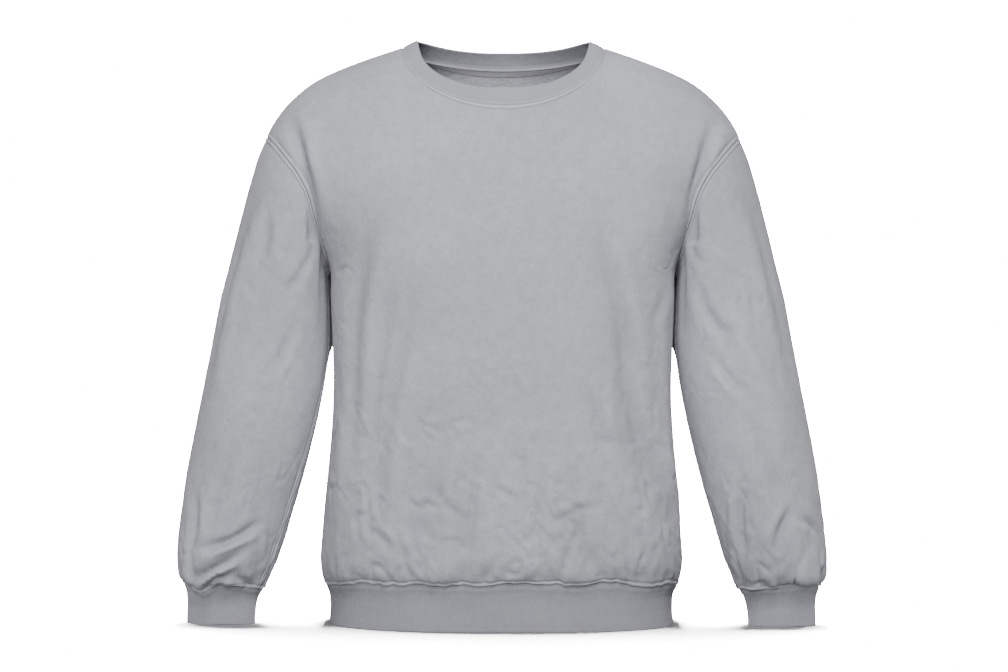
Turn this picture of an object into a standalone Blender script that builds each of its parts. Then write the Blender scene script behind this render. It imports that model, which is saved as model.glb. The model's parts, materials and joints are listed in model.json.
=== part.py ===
"""Crewneck sweatshirt in its worn form: every cut and sewn piece is a thin closed wall.

Frame: metres in the scene, +Z up, the front faces -Y, +X is the wearer's left. The origin is
the middle of the neck opening, level with the high points of the two shoulders. All tables and
sizes below are in millimetres.
"""
import math
from collections import namedtuple

import bmesh
import bpy
import numpy as np

MM = 0.001
SEAM_GAP = 0.3
CLOTH = 2.0
RIB = 3.0
TAPE = 1.0

NECK_HALF_WIDTH = 121.4
FRONT_NECK_DROP = 76.0
BACK_NECK_DROP = 15.0
FRONT_NECK_SAG = 1.1
BACK_NECK_SAG = 2.0
SHOULDER_TIP = -108.0
UNDERARM = -265.0
CHEST_DROP = 15.0
HEM_SEAM = -637.0
CUFF_SEAM = -643.0
RIB_LEVELS = (-650.0, -662.0, -675.0, -686.5)
COLLAR_WIDTH = 24.5
TAPE_WIDTH = 10.0
TAPE_TOP = 0.5
TAPE_GAP = 1.6
TAPE_COLUMNS = 4
SLEEVE_CLEARANCE = 2.0
SLEEVE_BLEND = 120.0
CLEARING_TRAVEL = 12.0
PRESS_SOFTNESS = 5.0

NECK_COLUMNS = 6
SHOULDER_COLUMNS = 6
SIDE_ROWS = 10
ARMHOLE_ROWS = 9
SLEEVE_ROWS = 15
FINE_SPANS = 120

TorsoSection = namedtuple("TorsoSection", "height half_width front side back squareness")
TORSO = (
    TorsoSection(25, 45, -12, 8, 45, 2.0),
    TorsoSection(0, 121.4, -35, 8, 72, 2.0),
    TorsoSection(-14, 163, -48, 8, 84, 2.0),
    TorsoSection(-38, 220, -64, 8, 95, 2.05),
    TorsoSection(-62, 252, -78, 8, 102, 2.1),
    TorsoSection(-86, 272, -90, 7, 107, 2.2),
    TorsoSection(-110, 284, -99, 6, 111, 2.35),
    TorsoSection(-127, 286, -105, 6, 114, 2.45),
    TorsoSection(-144, 283, -109, 5, 116, 2.55),
    TorsoSection(-158, 275, -112, 5, 117, 2.6),
    TorsoSection(-178, 256, -116, 4, 118, 2.7),
    TorsoSection(-205, 235, -121, 3, 119, 2.8),
    TorsoSection(-237, 216, -126, 1, 120, 2.8),
    TorsoSection(-265, 206, -129, 0, 119, 2.8),
    TorsoSection(-300, 205, -130, 0, 118, 2.8),
    TorsoSection(-350, 203, -129, 0, 115, 2.8),
    TorsoSection(-400, 201.6, -128, 0, 113, 2.8),
    TorsoSection(-446, 202.8, -128, 0, 113, 2.8),
    TorsoSection(-494, 206.4, -129, 0, 114, 2.8),
    TorsoSection(-542, 211, -130, 0, 116, 2.8),
    TorsoSection(-590, 214.8, -131, 0, 119, 2.75),
    TorsoSection(-614, 216, -130, 0, 120, 2.7),
    TorsoSection(-630, 213.5, -126, 0, 118, 2.7),
    TorsoSection(-642, 208.5, -121, 0, 116, 2.7),
    TorsoSection(-650, 205.8, -119, 0, 115, 2.7),
    TorsoSection(-662, 204.6, -118, 0, 114, 2.7),
    TorsoSection(-674, 204.6, -118, 0, 114, 2.7),
    TorsoSection(-688, 205.8, -118.5, 0, 114.5, 2.7),
)

ArmSection = namedtuple("ArmSection", "height centre half_width half_depth middle")
ARM = (
    ArmSection(-90, 231, 44, 50, 5),
    ArmSection(-110, 238, 46, 55, 5),
    ArmSection(-134, 244, 50, 60, 5),
    ArmSection(-157, 248, 53, 62, 5),
    ArmSection(-182, 252, 56, 64, 5),
    ArmSection(-213, 256, 60, 66, 4),
    ArmSection(-254, 261, 65, 68, 3),
    ArmSection(-302, 268, 70, 68, 1),
    ArmSection(-350, 275, 72, 67, 0),
    ArmSection(-422, 288, 72.3, 65, -8),
    ArmSection(-470, 297.6, 71.4, 63, -14),
    ArmSection(-518, 307.5, 69.3, 60, -20),
    ArmSection(-566, 317, 65.4, 56, -26),
    ArmSection(-590, 321.6, 63, 53, -29),
    ArmSection(-614, 326, 59, 48, -32),
    ArmSection(-632, 329.5, 53.5, 40, -34),
    ArmSection(-643, 329.5, 48, 31, -34),
    ArmSection(-650, 330, 44.4, 26, -34),
    ArmSection(-662, 331, 41.7, 21, -34),
    ArmSection(-675, 332, 40.8, 19, -34),
    ArmSection(-688, 332.5, 40.5, 18, -34),
)

SeamPoint = namedtuple("SeamPoint", "across depth height")
ARMHOLE = (
    SeamPoint(283, 6, -108),
    SeamPoint(280, -27, -112),
    SeamPoint(270, -52, -124),
    SeamPoint(256, -67, -141),
    SeamPoint(244, -73, -158),
    SeamPoint(231, -70, -180),
    SeamPoint(221, -58, -207),
    SeamPoint(212, -36, -240),
    SeamPoint(206, 0, -265),
)
ARMHOLE_MIDDLE = SeamPoint(236, 4, -186)

# Lean and share of the full width, by the degrees round the neck from the front centre.
CollarLean = namedtuple("CollarLean", "way_round degrees share")
COLLAR_LEAN = (
    CollarLean(0, 26, 1.0),
    CollarLean(45, 42, 0.96),
    CollarLean(90, 62, 0.82),
    CollarLean(112, 48, 0.84),
    CollarLean(140, 37, 0.82),
    CollarLean(180, 26, 0.80),
)

# Spare cloth behind the armpit: where round the sleeve, at what height, and how far it swings in.
ArmpitFold = namedtuple("ArmpitFold", "turn spread level span swing")
ARMPIT = ArmpitFold(225.0, 34.0, -318.0, 48.0, 24.0)

BandStation = namedtuple("BandStation", "along out")
FOLDED_BAND = (
    BandStation(0.0, 0.0),
    BandStation(0.3, 0.5),
    BandStation(0.7, 0.4),
    BandStation(0.95, -0.2),
)

# A fold runs from its top to its foot on a panel, seen square on; a trough has a negative rise.
Fold = namedtuple("Fold", "top_across top_height foot_across foot_height rise width")
FRONT_FOLDS = (
    Fold(246, -95, 224, -180, -7, 15),
    Fold(-246, -95, -224, -180, -7, 15),
    Fold(-150, -200, -178, -420, -4, 24),
    Fold(-105, -300, -140, -500, -3, 22),
    Fold(118, -220, 152, -430, -4, 24),
    Fold(160, -440, 190, -590, -4, 20),
    Fold(95, -400, 120, -480, -3, 22),
)
BACK_FOLDS = (
    Fold(246, -95, 224, -180, -7, 15),
    Fold(-246, -95, -224, -180, -7, 15),
    Fold(-120, -230, -150, -450, -4, 24),
    Fold(60, -330, 75, -560, -3, 24),
    Fold(150, -260, 170, -470, -4, 22),
)

# How far each side seam has turned towards the front by the time it reaches the hem.
SIDE_SEAM_TURN = {1: 8.0, -1: -13.0}

Finish = namedtuple("Finish", "red green blue roughness")
JERSEY = Finish(0.42, 0.43, 0.46, 0.95)
KNIT_RIB = Finish(0.36, 0.36, 0.40, 0.95)
TAPE_FINISH = Finish(0.44, 0.44, 0.48, 0.9)


class Sections:
    """Smooth values between the rows of a section table, read by height."""

    def __init__(self, rows):
        ordered = sorted(rows, key=lambda row: row[0])
        self.heights = np.array([row[0] for row in ordered], float)
        self.values = {}
        self.slopes = {}
        for index, name in enumerate(ordered[0]._fields[1:], start=1):
            self.values[name] = np.array([row[index] for row in ordered], float)
            self.slopes[name] = np.gradient(self.values[name], self.heights)

    def read(self, name, height):
        """Value of one column at any height, by cubic pieces between the rows."""
        height = np.clip(height, self.heights[0], self.heights[-1])
        row = np.clip(np.searchsorted(self.heights, height) - 1, 0, len(self.heights) - 2)
        span = self.heights[row + 1] - self.heights[row]
        t = (height - self.heights[row]) / span
        low, high = self.values[name][row], self.values[name][row + 1]
        leave, arrive = self.slopes[name][row] * span, self.slopes[name][row + 1] * span
        bend = (2 * t**3 - 3 * t**2 + 1) * low + (3 * t**2 - 2 * t**3) * high
        return bend + (t**3 - 2 * t**2 + t) * leave + (t**3 - t**2) * arrive


torso = Sections(TORSO)
arm = Sections(ARM)
lean = Sections(COLLAR_LEAN)


def unit(vectors):
    """Vectors of length one."""
    return vectors / np.maximum(np.linalg.norm(vectors, axis=-1, keepdims=True), 1e-9)


def spaced(curve, shares):
    """Points at the given shares of a curve's length; the curve is a dense row of points."""
    steps = np.linalg.norm(np.diff(curve, axis=0), axis=1)
    length = np.concatenate(([0.0], np.cumsum(steps)))
    wanted = np.asarray(shares) * length[-1]
    return np.stack([np.interp(wanted, length, curve[:, axis]) for axis in range(3)], axis=-1)


def smooth_curve(knots, per_span=24):
    """Dense points of a smooth curve through the knots."""
    knots = np.array(knots, float)
    spans = np.concatenate(([0.0], np.cumsum(np.linalg.norm(np.diff(knots, axis=0), axis=1))))
    rows = [SeamPoint(*knot) for knot in knots]
    at = namedtuple("At", "place across depth height")
    table = Sections([at(place, *row) for place, row in zip(spans, rows)])
    places = np.linspace(0, spans[-1], per_span * (len(knots) - 1) + 1)
    return np.stack([table.read(name, places) for name in SeamPoint._fields], axis=-1)


def torso_level(points):
    """One on the torso's cloth, less inside it and more outside it."""
    across, depth, height = points[..., 0], points[..., 1], points[..., 2]
    side = torso.read("side", height)
    reach = np.where(depth < side, side - torso.read("front", height), torso.read("back", height) - side)
    power = torso.read("squareness", height)
    wide = np.abs(across) / torso.read("half_width", height)
    deep = np.abs(depth - side) / reach
    return (wide**power + deep**power + 1e-12) ** (1 / power)


def torso_slope(points, step=0.05):
    """Gradient of torso_level, which points out of the cloth."""
    parts = []
    for axis in np.eye(3):
        parts.append((torso_level(points + axis * step) - torso_level(points - axis * step)) / (2 * step))
    return np.stack(parts, axis=-1)


def onto_torso(points, rounds=14):
    """Points moved square to the cloth until they lie on the torso."""
    points = np.array(points, float)
    for _ in range(rounds):
        slope = torso_slope(points)
        excess = torso_level(points) - 1
        points -= (excess / (slope**2).sum(axis=-1))[..., None] * slope
    return points


def seam_turn(height, side):
    """How far the side seam lies behind the widest line at a height."""
    share = np.clip((UNDERARM - height) / (UNDERARM - HEM_SEAM), 0, 1)
    return SIDE_SEAM_TURN[side] * share**2


def section_point(angle, height, face):
    """Point of the torso at a height, by its angle from straight ahead (face -1) or behind (+1)."""
    side = torso.read("side", height)
    edge = torso.read("front", height) if face < 0 else torso.read("back", height)
    power = torso.read("squareness", height)
    wide, deep = np.abs(np.sin(angle)), np.abs(np.cos(angle))
    stretch = (wide**power + deep**power) ** (-1 / power)
    across = torso.read("half_width", height) * np.sin(angle) * stretch
    return np.stack([across, side + (edge - side) * np.cos(angle) * stretch, height], axis=-1)


def angle_of(point, face):
    """Angle that section_point needs to reach a point of the torso."""
    side = torso.read("side", point[2])
    edge = torso.read("front", point[2]) if face < 0 else torso.read("back", point[2])
    return math.atan2(point[0] / torso.read("half_width", point[2]), (point[1] - side) / (edge - side))


def side_seam(heights, side):
    """Points of the side seam, for the half at +X."""
    turn = seam_turn(heights, side)
    power = torso.read("squareness", heights)
    middle = torso.read("side", heights)
    reach = np.where(turn < 0, middle - torso.read("front", heights), torso.read("back", heights) - middle)
    across = torso.read("half_width", heights) * (1 - (np.abs(turn) / reach) ** power) ** (1 / power)
    return np.stack([across, middle + turn, heights], axis=-1)


def armhole(face, shares):
    """Armhole seam of the half at +X, from the shoulder tip to the underarm."""
    knots = np.array(ARMHOLE, float)
    if face > 0:
        knots[:, 1] = 2 * ARMHOLE_MIDDLE.depth - knots[:, 1]
        knots[0] = ARMHOLE[0]
        knots[-1] = ARMHOLE[-1]
    curve = smooth_curve(knots)
    tip, foot = curve[0].copy(), curve[-1].copy()
    curve = onto_torso(curve)
    curve[0] = [torso.read("half_width", tip[2]), torso.read("side", tip[2]), tip[2]]
    curve[-1] = [torso.read("half_width", foot[2]), torso.read("side", foot[2]), foot[2]]
    return spaced(curve, shares)


def neckline(face, shares):
    """Neck seam of the half at +X, from the centre line to the high point of the shoulder."""
    turn = np.linspace(0, math.pi / 2, FINE_SPANS + 1)
    drop, sag = (FRONT_NECK_DROP, FRONT_NECK_SAG) if face < 0 else (BACK_NECK_DROP, BACK_NECK_SAG)
    across, height = NECK_HALF_WIDTH * np.sin(turn), -drop * np.cos(turn) ** sag
    side = torso.read("side", height)
    edge = torso.read("front", height) if face < 0 else torso.read("back", height)
    power = torso.read("squareness", height)
    wide = np.clip(across / torso.read("half_width", height), 0, 1)
    depth = side + (edge - side) * (1 - wide**power) ** (1 / power)
    return spaced(np.stack([across, depth, height], axis=-1), shares)


def shoulder(shares):
    """Shoulder seam of the half at +X, from its high point to its tip, along the ridge."""
    heights = np.linspace(0, SHOULDER_TIP, FINE_SPANS + 1)
    ridge = np.stack([torso.read("half_width", heights), torso.read("side", heights), heights], axis=-1)
    return spaced(ridge, shares)


def along_curve(points):
    """Unit direction of a row of points at each of them."""
    return unit(np.gradient(points, axis=0))


def armhole_ring():
    """Points round the armhole at +X from the tip by the front, their rim and sleeve directions."""
    down = np.linspace(0, 1, ARMHOLE_ROWS + 1)
    ring = np.concatenate((armhole(-1, down), armhole(1, down)[-2:0:-1]))
    tangent = unit(np.roll(ring, -1, axis=0) - np.roll(ring, 1, axis=0))
    away = ring - np.array(ARMHOLE_MIDDLE, float)
    rim = unit(away - (away * tangent).sum(axis=-1, keepdims=True) * tangent)
    return ring, rim, unit(np.cross(rim, tangent))


def armhole_side(face):
    """Rim and sleeve directions of one side of the armhole, from the underarm up to the tip."""
    _, rim, sleeve_way = armhole_ring()
    order = np.arange(ARMHOLE_ROWS, -1, -1)
    if face > 0:
        order = (-order) % len(rim)
    return rim[order], sleeve_way[order]


def half_panel(face, side):
    """Outer points of one half of the front or back, rows from hem to top, columns from the centre."""
    columns = NECK_COLUMNS + SHOULDER_COLUMNS
    rows = SIDE_ROWS + ARMHOLE_ROWS
    neck_height = -FRONT_NECK_DROP if face < 0 else -BACK_NECK_DROP
    chest = UNDERARM - CHEST_DROP
    centre = np.concatenate((
        np.linspace(HEM_SEAM, chest, SIDE_ROWS + 1),
        np.linspace(chest, neck_height, ARMHOLE_ROWS + 1)[1:],
    ))
    edge = np.concatenate((
        side_seam(np.linspace(HEM_SEAM, UNDERARM, SIDE_ROWS + 1), side),
        armhole(face, np.linspace(1, 0, ARMHOLE_ROWS + 1)[1:]),
    ))
    top = np.concatenate((
        neckline(face, np.linspace(0, 1, NECK_COLUMNS + 1)),
        shoulder(np.linspace(0, 1, SHOULDER_COLUMNS + 1)[1:]),
    ))
    shares = np.linspace(0, 1, columns + 1)
    base = []
    for row in range(rows + 1):
        fan = np.linspace(0, 1, FINE_SPANS + 1)
        heights = centre[row] + (edge[row][2] - centre[row]) * fan**2
        curve = section_point(fan * angle_of(edge[row], face), heights, face)
        base.append(spaced(curve, shares))
    base = np.array(base)
    rise = np.clip((np.arange(rows + 1) - SIDE_ROWS + 2) / (ARMHOLE_ROWS + 2), 0, 1) ** 1.5
    grid = base + rise[:, None, None] * (top - base[-1])
    grid = onto_torso(grid)
    grid[:, -1] = edge
    grid[-1] = top
    return grid


def fold_rise(points, folds):
    """Height of the folds at the points, from their distance to each fold's line."""
    total = np.zeros(points.shape[:-1])
    flat = points[..., [0, 2]]
    for fold in folds:
        start = np.array([fold.top_across, fold.top_height], float)
        run = np.array([fold.foot_across, fold.foot_height], float) - start
        share = ((flat - start) @ run) / (run @ run)
        off = flat - start - np.clip(share, 0, 1)[..., None] * run
        ends = np.sin(math.pi * np.clip(0.08 + 0.84 * share, 0, 1))
        total += fold.rise * ends * np.exp(-(off**2).sum(axis=-1) / fold.width**2)
    return total


def grid_normals(grid, around=False):
    """Unit normals of a grid of points, by the directions of its rows and columns."""
    if around:
        run = np.roll(grid, -1, axis=1) - np.roll(grid, 1, axis=1)
    else:
        run = np.gradient(grid, axis=1)
    return unit(np.cross(run, np.gradient(grid, axis=0)))


def panel(face):
    """Outer points, outward directions and inner points of the whole front (-1) or back (+1)."""
    halves = {}
    for side in (1, -1):
        half = half_panel(face, side)
        outward = unit(torso_slope(half))
        rim = outward[:, -1].copy()
        rim[SIDE_ROWS:] = armhole_side(face)[0]
        outward[:, -1] = rim
        flat = outward[0] * (1, 1, 0)
        outward[0] = unit(flat)
        half = half + seam_pull(half, outward, face)
        if side < 0:
            half, outward = half * (-1, 1, 1), outward * (-1, 1, 1)
        halves[side] = (half, outward)
    grid = np.concatenate((halves[-1][0][:, :0:-1], halves[1][0]), axis=1)
    outward = np.concatenate((halves[-1][1][:, :0:-1], halves[1][1]), axis=1)
    rise = fold_rise(grid, FRONT_FOLDS if face < 0 else BACK_FOLDS)
    rise[:, [0, -1]] = 0
    rise[[0, -1]] = 0
    grid = grid + rise[..., None] * outward
    return grid, outward, grid - CLOTH * outward


def seam_pull(grid, outward, face):
    """Small move of the border points into their panel, so that its seams stand a gap apart."""
    move = np.zeros_like(grid)
    half_gap = SEAM_GAP / 2
    move[:SIDE_ROWS + 1, -1] += (0, face * half_gap, 0)
    move[SIDE_ROWS:, -1] -= half_gap * armhole_side(face)[1]
    move[-1, NECK_COLUMNS:] += (0, face * half_gap, 0)
    neck = slice(0, NECK_COLUMNS + 1)
    neck_side = np.cross(along_curve(grid[-1, neck]), outward[-1, neck]) * -face
    move[-1, neck] += half_gap * unit(neck_side)
    move[0] += (0, 0, half_gap)
    return move


def sleeve_section(turn, height):
    """Point of the sleeve at +X at a height; turn 0 is its outer side and a quarter is its front."""
    centre, middle = arm.read("centre", height), arm.read("middle", height)
    across = centre + arm.read("half_width", height) * np.cos(turn)
    depth = middle - arm.read("half_depth", height) * np.sin(turn)
    return np.stack([across, depth, height], axis=-1)


def clear_of_torso(points, weight):
    """Sleeve points moved out where they would press into the side of the torso."""
    height = np.minimum(points[..., 2], UNDERARM)
    side = torso.read("side", height)
    reach = np.where(points[..., 1] < side, side - torso.read("front", height),
                     torso.read("back", height) - side)
    power = torso.read("squareness", height)
    deep = np.clip(np.abs(points[..., 1] - side) / reach, 0, 1)
    wall = torso.read("half_width", height) * (1 - deep**power) ** (1 / power)
    short = wall + SLEEVE_CLEARANCE * weight - points[..., 0]
    push = PRESS_SOFTNESS * np.log1p(np.exp(np.clip(short / PRESS_SOFTNESS, -30, 30)))
    moved = points.copy()
    moved[..., 0] += np.where(short > 0, np.maximum(push * weight, short), push * weight)
    return moved


def armpit_fold(turn, height):
    """How far the spare cloth behind the armpit swings in at the back of the torso's side."""
    round_it = (np.degrees(turn) - ARMPIT.turn) / ARMPIT.spread
    along = (height - ARMPIT.level) / ARMPIT.span
    return ARMPIT.swing * np.exp(-(round_it**2) - along**4)


def sleeve():
    """Outer and inner points of the sleeve at +X, rows from armhole to cuff, columns all round."""
    ring, rim, sleeve_way = armhole_ring()
    columns = len(ring)
    turn = 2 * math.pi * np.arange(columns) / columns
    offset = ring - sleeve_section(turn, ring[:, 2])
    rows = []
    for share in np.linspace(0, 1, SLEEVE_ROWS + 1):
        height = ring[:, 2] + (CUFF_SEAM - ring[:, 2]) * share
        travel = (ring[:, 2] - CUFF_SEAM) * share
        fade = np.clip(1 - travel / SLEEVE_BLEND, 0, 1)
        fade = fade**2 * (3 - 2 * fade)
        points = sleeve_section(turn, height)
        points[:, :2] += offset[:, :2] * fade[:, None]
        held = np.clip(travel / CLEARING_TRAVEL, 0, 1)
        points[:, 0] -= armpit_fold(turn, height) * np.clip(travel / ARMPIT.span - 0.3, 0, 1)
        rows.append(clear_of_torso(points, held) if share > 0 else points)
    grid = np.array(rows)
    outward = grid_normals(grid, around=True)
    outward[0] = rim
    outward[-1] = unit(outward[-1] * (1, 1, 0))
    grid[0] += SEAM_GAP / 2 * sleeve_way
    grid[-1] += (0, 0, SEAM_GAP / 2)
    return grid, outward, grid - CLOTH * outward


def mirrored(grid):
    """The same points on the other side of the body."""
    return grid * (-1, 1, 1)


def new_object(name, vertices, faces, finish):
    """A closed mesh object of its own material, its faces pointing out."""
    mesh = bpy.data.meshes.new(name)
    mesh.from_pydata([tuple(point * MM) for point in vertices], [], faces)
    shape = bmesh.new()
    shape.from_mesh(mesh)
    bmesh.ops.recalc_face_normals(shape, faces=shape.faces[:])
    if shape.calc_volume(signed=True) < 0:
        bmesh.ops.reverse_faces(shape, faces=shape.faces[:])
    shape.to_mesh(mesh)
    shape.free()
    mesh.shade_smooth()
    mesh.set_sharp_from_angle(angle=math.radians(50))
    material = bpy.data.materials.new(name)
    material.use_nodes = True
    shader = material.node_tree.nodes["Principled BSDF"]
    shader.inputs["Base Color"].default_value = (finish.red, finish.green, finish.blue, 1)
    shader.inputs["Roughness"].default_value = finish.roughness
    mesh.materials.append(material)
    piece = bpy.data.objects.new(name, mesh)
    bpy.context.scene.collection.objects.link(piece)
    return piece


def wall(name, outer, inner, finish, around=False):
    """A cloth wall between two grids of points; around closes its columns into a tube."""
    rows, columns = outer.shape[:2]
    count = rows * columns
    vertices = np.concatenate((outer.reshape(-1, 3), inner.reshape(-1, 3)))
    spans = columns if around else columns - 1
    faces = []

    def index(row, column, skin):
        return skin * count + row * columns + column % columns

    for row in range(rows - 1):
        for column in range(spans):
            corners = ((row, column), (row, column + 1), (row + 1, column + 1), (row + 1, column))
            faces.append([index(*corner, 0) for corner in corners])
            faces.append([index(*corner, 1) for corner in reversed(corners)])
    for row in (0, rows - 1):
        for column in range(spans):
            faces.append([index(row, column, 0), index(row, column + 1, 0),
                          index(row, column + 1, 1), index(row, column, 1)])
    if not around:
        for column in (0, columns - 1):
            for row in range(rows - 1):
                faces.append([index(row, column, 0), index(row + 1, column, 0),
                              index(row + 1, column, 1), index(row, column, 1)])
    return new_object(name, vertices, faces, finish)


def band(name, loops, finish):
    """A closed band from loops of points that run once round its section."""
    rings, columns = len(loops), len(loops[0])
    faces = []
    for ring in range(rings):
        for column in range(columns):
            corners = ((ring, column), (ring, column + 1), (ring + 1, column + 1), (ring + 1, column))
            faces.append([(row % rings) * columns + place % columns for row, place in corners])
    return new_object(name, np.concatenate(loops), faces, finish)


def folded_loops(outer_rows, outward_rows, edge_way, thickness):
    """Loops of a doubled rib: down its outer face, round the fold and back up its inner face."""
    inner = [row - thickness * out for row, out in zip(outer_rows, outward_rows)]
    fold = outer_rows[-1] - thickness / 2 * outward_rows[-1] + thickness / 2 * edge_way
    return list(outer_rows) + [fold] + inner[::-1]


def neck_ring():
    """Points of the whole neck seam, from the front centre past +X, and their outward directions."""
    front = neckline(-1, np.linspace(0, 1, NECK_COLUMNS + 1))
    back = neckline(1, np.linspace(1, 0, NECK_COLUMNS + 1))
    half = np.concatenate((front, back[1:]))
    ring = np.concatenate((half, mirrored(half)[-2:0:-1]))
    return ring, unit(torso_slope(ring))


def make_collar():
    """Neck rib: a doubled band that leans in from the neck seam to its fold."""
    ring, rim = neck_ring()
    tangent = unit(np.roll(ring, -1, axis=0) - np.roll(ring, 1, axis=0))
    inward = unit(np.cross(tangent * (1, 1, 0), (0, 0, -1)))
    inward *= np.sign((inward * -ring).sum(axis=1, keepdims=True))
    way_round = np.degrees(np.abs(np.arctan2(ring[:, 0], -(ring[:, 1] - 8))))
    tilt = np.radians(lean.read("degrees", way_round))[:, None]
    way = inward * np.sin(tilt) + np.array((0, 0, 1.0)) * np.cos(tilt)
    width = COLLAR_WIDTH * lean.read("share", way_round)[:, None]
    outward = unit(np.cross(tangent, way))
    outward *= np.sign((outward * rim).sum(axis=1, keepdims=True))
    rows, outs = [], []
    for station in FOLDED_BAND:
        share = station.along / FOLDED_BAND[-1].along
        rows.append(ring + way * (width * station.along + SEAM_GAP / 2) + outward * station.out)
        outs.append(unit(rim * (1 - share) + outward * share))
    return band("collar", folded_loops(rows, outs, way, RIB), KNIT_RIB)


def hem_ring(height):
    """Loop of the torso's section at a height, matched to the hem columns of both panels."""
    columns = NECK_COLUMNS + SHOULDER_COLUMNS
    quarters = {}
    for side in (1, -1):
        seam = side_seam(np.array([height], float), side)[0]
        for face in (-1, 1):
            fan = np.linspace(0, 1, FINE_SPANS + 1)
            curve = section_point(fan * angle_of(seam, face), np.full(len(fan), float(height)), face)
            quarter = spaced(curve, np.linspace(0, 1, columns + 1))
            quarters[side, face] = quarter if side > 0 else mirrored(quarter)
    return np.concatenate((quarters[1, -1], quarters[1, 1][-2::-1],
                           quarters[-1, 1][1:], quarters[-1, -1][-2:0:-1]))


def make_hem_rib():
    """Hem rib: a doubled band below the hem seam, its fold at the bottom."""
    heights = (HEM_SEAM - SEAM_GAP / 2, *RIB_LEVELS)
    rows = [hem_ring(height) for height in heights]
    outs = [unit(torso_slope(row) * (1, 1, 0)) for row in rows]
    outs[0] = unit(torso_slope(hem_ring(HEM_SEAM)) * (1, 1, 0))
    return band("hem_rib", folded_loops(rows, outs, np.array((0, 0, -1.0)), RIB), KNIT_RIB)


def make_cuff(name, side, columns, rim):
    """Cuff: a doubled band below the sleeve's last ring."""
    turn = 2 * math.pi * np.arange(columns) / columns
    heights = (CUFF_SEAM - SEAM_GAP / 2, *RIB_LEVELS)
    rows, outs = [], []
    for height in heights:
        rows.append(sleeve_section(turn, np.full(columns, float(height))))
        wide, deep = arm.read("half_width", height), arm.read("half_depth", height)
        outs.append(unit(np.stack([np.cos(turn) / wide, -np.sin(turn) / deep, 0 * turn], axis=-1)))
    outs[0] = rim
    loops = folded_loops(rows, outs, np.array((0, 0, -1.0)), RIB)
    if side < 0:
        loops = [mirrored(loop) for loop in loops]
    return band(name, loops, KNIT_RIB)


def make_neck_tape(inner, outward):
    """Narrow strip inside the back, on the inner points of the panel just below the neck seam."""
    middle = inner.shape[1] // 2
    reach = slice(middle - TAPE_COLUMNS, middle + TAPE_COLUMNS + 1)
    top, below = inner[-1, reach], inner[-2, reach]
    down = unit(below - top)
    skin = np.array([top + down * along for along in (TAPE_TOP, TAPE_TOP + TAPE_WIDTH)])
    skin -= TAPE_GAP * outward[-1, reach]
    return wall("neck_tape", skin, skin - TAPE * outward[-1, reach], TAPE_FINISH)


def build():
    """Clear the scene and build every piece."""
    for item in list(bpy.data.objects):
        bpy.data.objects.remove(item)
    front, _, front_inner = panel(-1)
    wall("front", front, front_inner, JERSEY)
    back, back_outward, back_inner = panel(1)
    wall("back", back, back_inner, JERSEY)
    outer, outward, inner = sleeve()
    wall("sleeve_left", outer, inner, JERSEY, around=True)
    wall("sleeve_right", mirrored(outer), mirrored(inner), JERSEY, around=True)
    make_collar()
    make_neck_tape(back_inner, back_outward)
    make_hem_rib()
    make_cuff("cuff_left", 1, outer.shape[1], outward[-1])
    make_cuff("cuff_right", -1, outer.shape[1], outward[-1])


build()
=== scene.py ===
"""Looks of a garment-dyed crewneck sweatshirt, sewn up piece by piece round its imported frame."""
import json
import logging
import math
from dataclasses import dataclass, field, fields
from enum import Enum
from typing import Callable, Sequence

import bmesh
import bpy
import numpy as np
from mathutils import Matrix, Vector

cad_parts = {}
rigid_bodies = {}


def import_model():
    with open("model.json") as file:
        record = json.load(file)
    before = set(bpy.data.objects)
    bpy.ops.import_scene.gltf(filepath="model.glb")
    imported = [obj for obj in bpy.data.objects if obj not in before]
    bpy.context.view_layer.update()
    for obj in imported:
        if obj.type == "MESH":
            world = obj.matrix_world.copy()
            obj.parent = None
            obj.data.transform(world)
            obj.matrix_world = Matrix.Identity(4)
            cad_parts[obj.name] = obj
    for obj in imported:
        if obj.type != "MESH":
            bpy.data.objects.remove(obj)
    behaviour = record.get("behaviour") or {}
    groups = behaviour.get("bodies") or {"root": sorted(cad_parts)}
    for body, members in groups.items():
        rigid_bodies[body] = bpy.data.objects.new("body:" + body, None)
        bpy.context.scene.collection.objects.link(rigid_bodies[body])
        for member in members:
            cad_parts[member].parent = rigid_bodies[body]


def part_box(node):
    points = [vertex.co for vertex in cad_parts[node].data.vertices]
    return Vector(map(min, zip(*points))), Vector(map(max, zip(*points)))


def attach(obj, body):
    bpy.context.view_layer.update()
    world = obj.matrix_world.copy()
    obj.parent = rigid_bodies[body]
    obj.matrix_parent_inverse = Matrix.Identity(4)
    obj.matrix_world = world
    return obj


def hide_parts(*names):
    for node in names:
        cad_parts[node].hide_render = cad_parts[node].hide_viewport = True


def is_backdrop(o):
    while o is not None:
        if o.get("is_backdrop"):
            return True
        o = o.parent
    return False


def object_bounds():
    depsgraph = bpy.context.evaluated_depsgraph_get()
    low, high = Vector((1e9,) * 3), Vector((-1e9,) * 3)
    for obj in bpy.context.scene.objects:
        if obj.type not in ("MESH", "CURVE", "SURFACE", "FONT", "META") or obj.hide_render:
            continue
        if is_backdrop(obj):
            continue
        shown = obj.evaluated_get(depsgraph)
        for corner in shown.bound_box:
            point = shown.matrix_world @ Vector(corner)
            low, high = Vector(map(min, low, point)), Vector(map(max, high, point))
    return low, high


log = logging.getLogger("sweatshirt")

MM = 0.001
SEAM_GAP = 0.3
CLOTH_WALL = 1.8
RIB_WALL = 3.0
TAPE_WALL = 0.9
QUARTER = math.pi / 2
PRESS_SOFTNESS = 5.0

# How far gathered seams stray from level, and what sets the noise of the two sleeves apart.
HEM_STRAY = 4.6
CUFF_STRAY = 2.4
SIDE_SHIFT = 900.0

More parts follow.
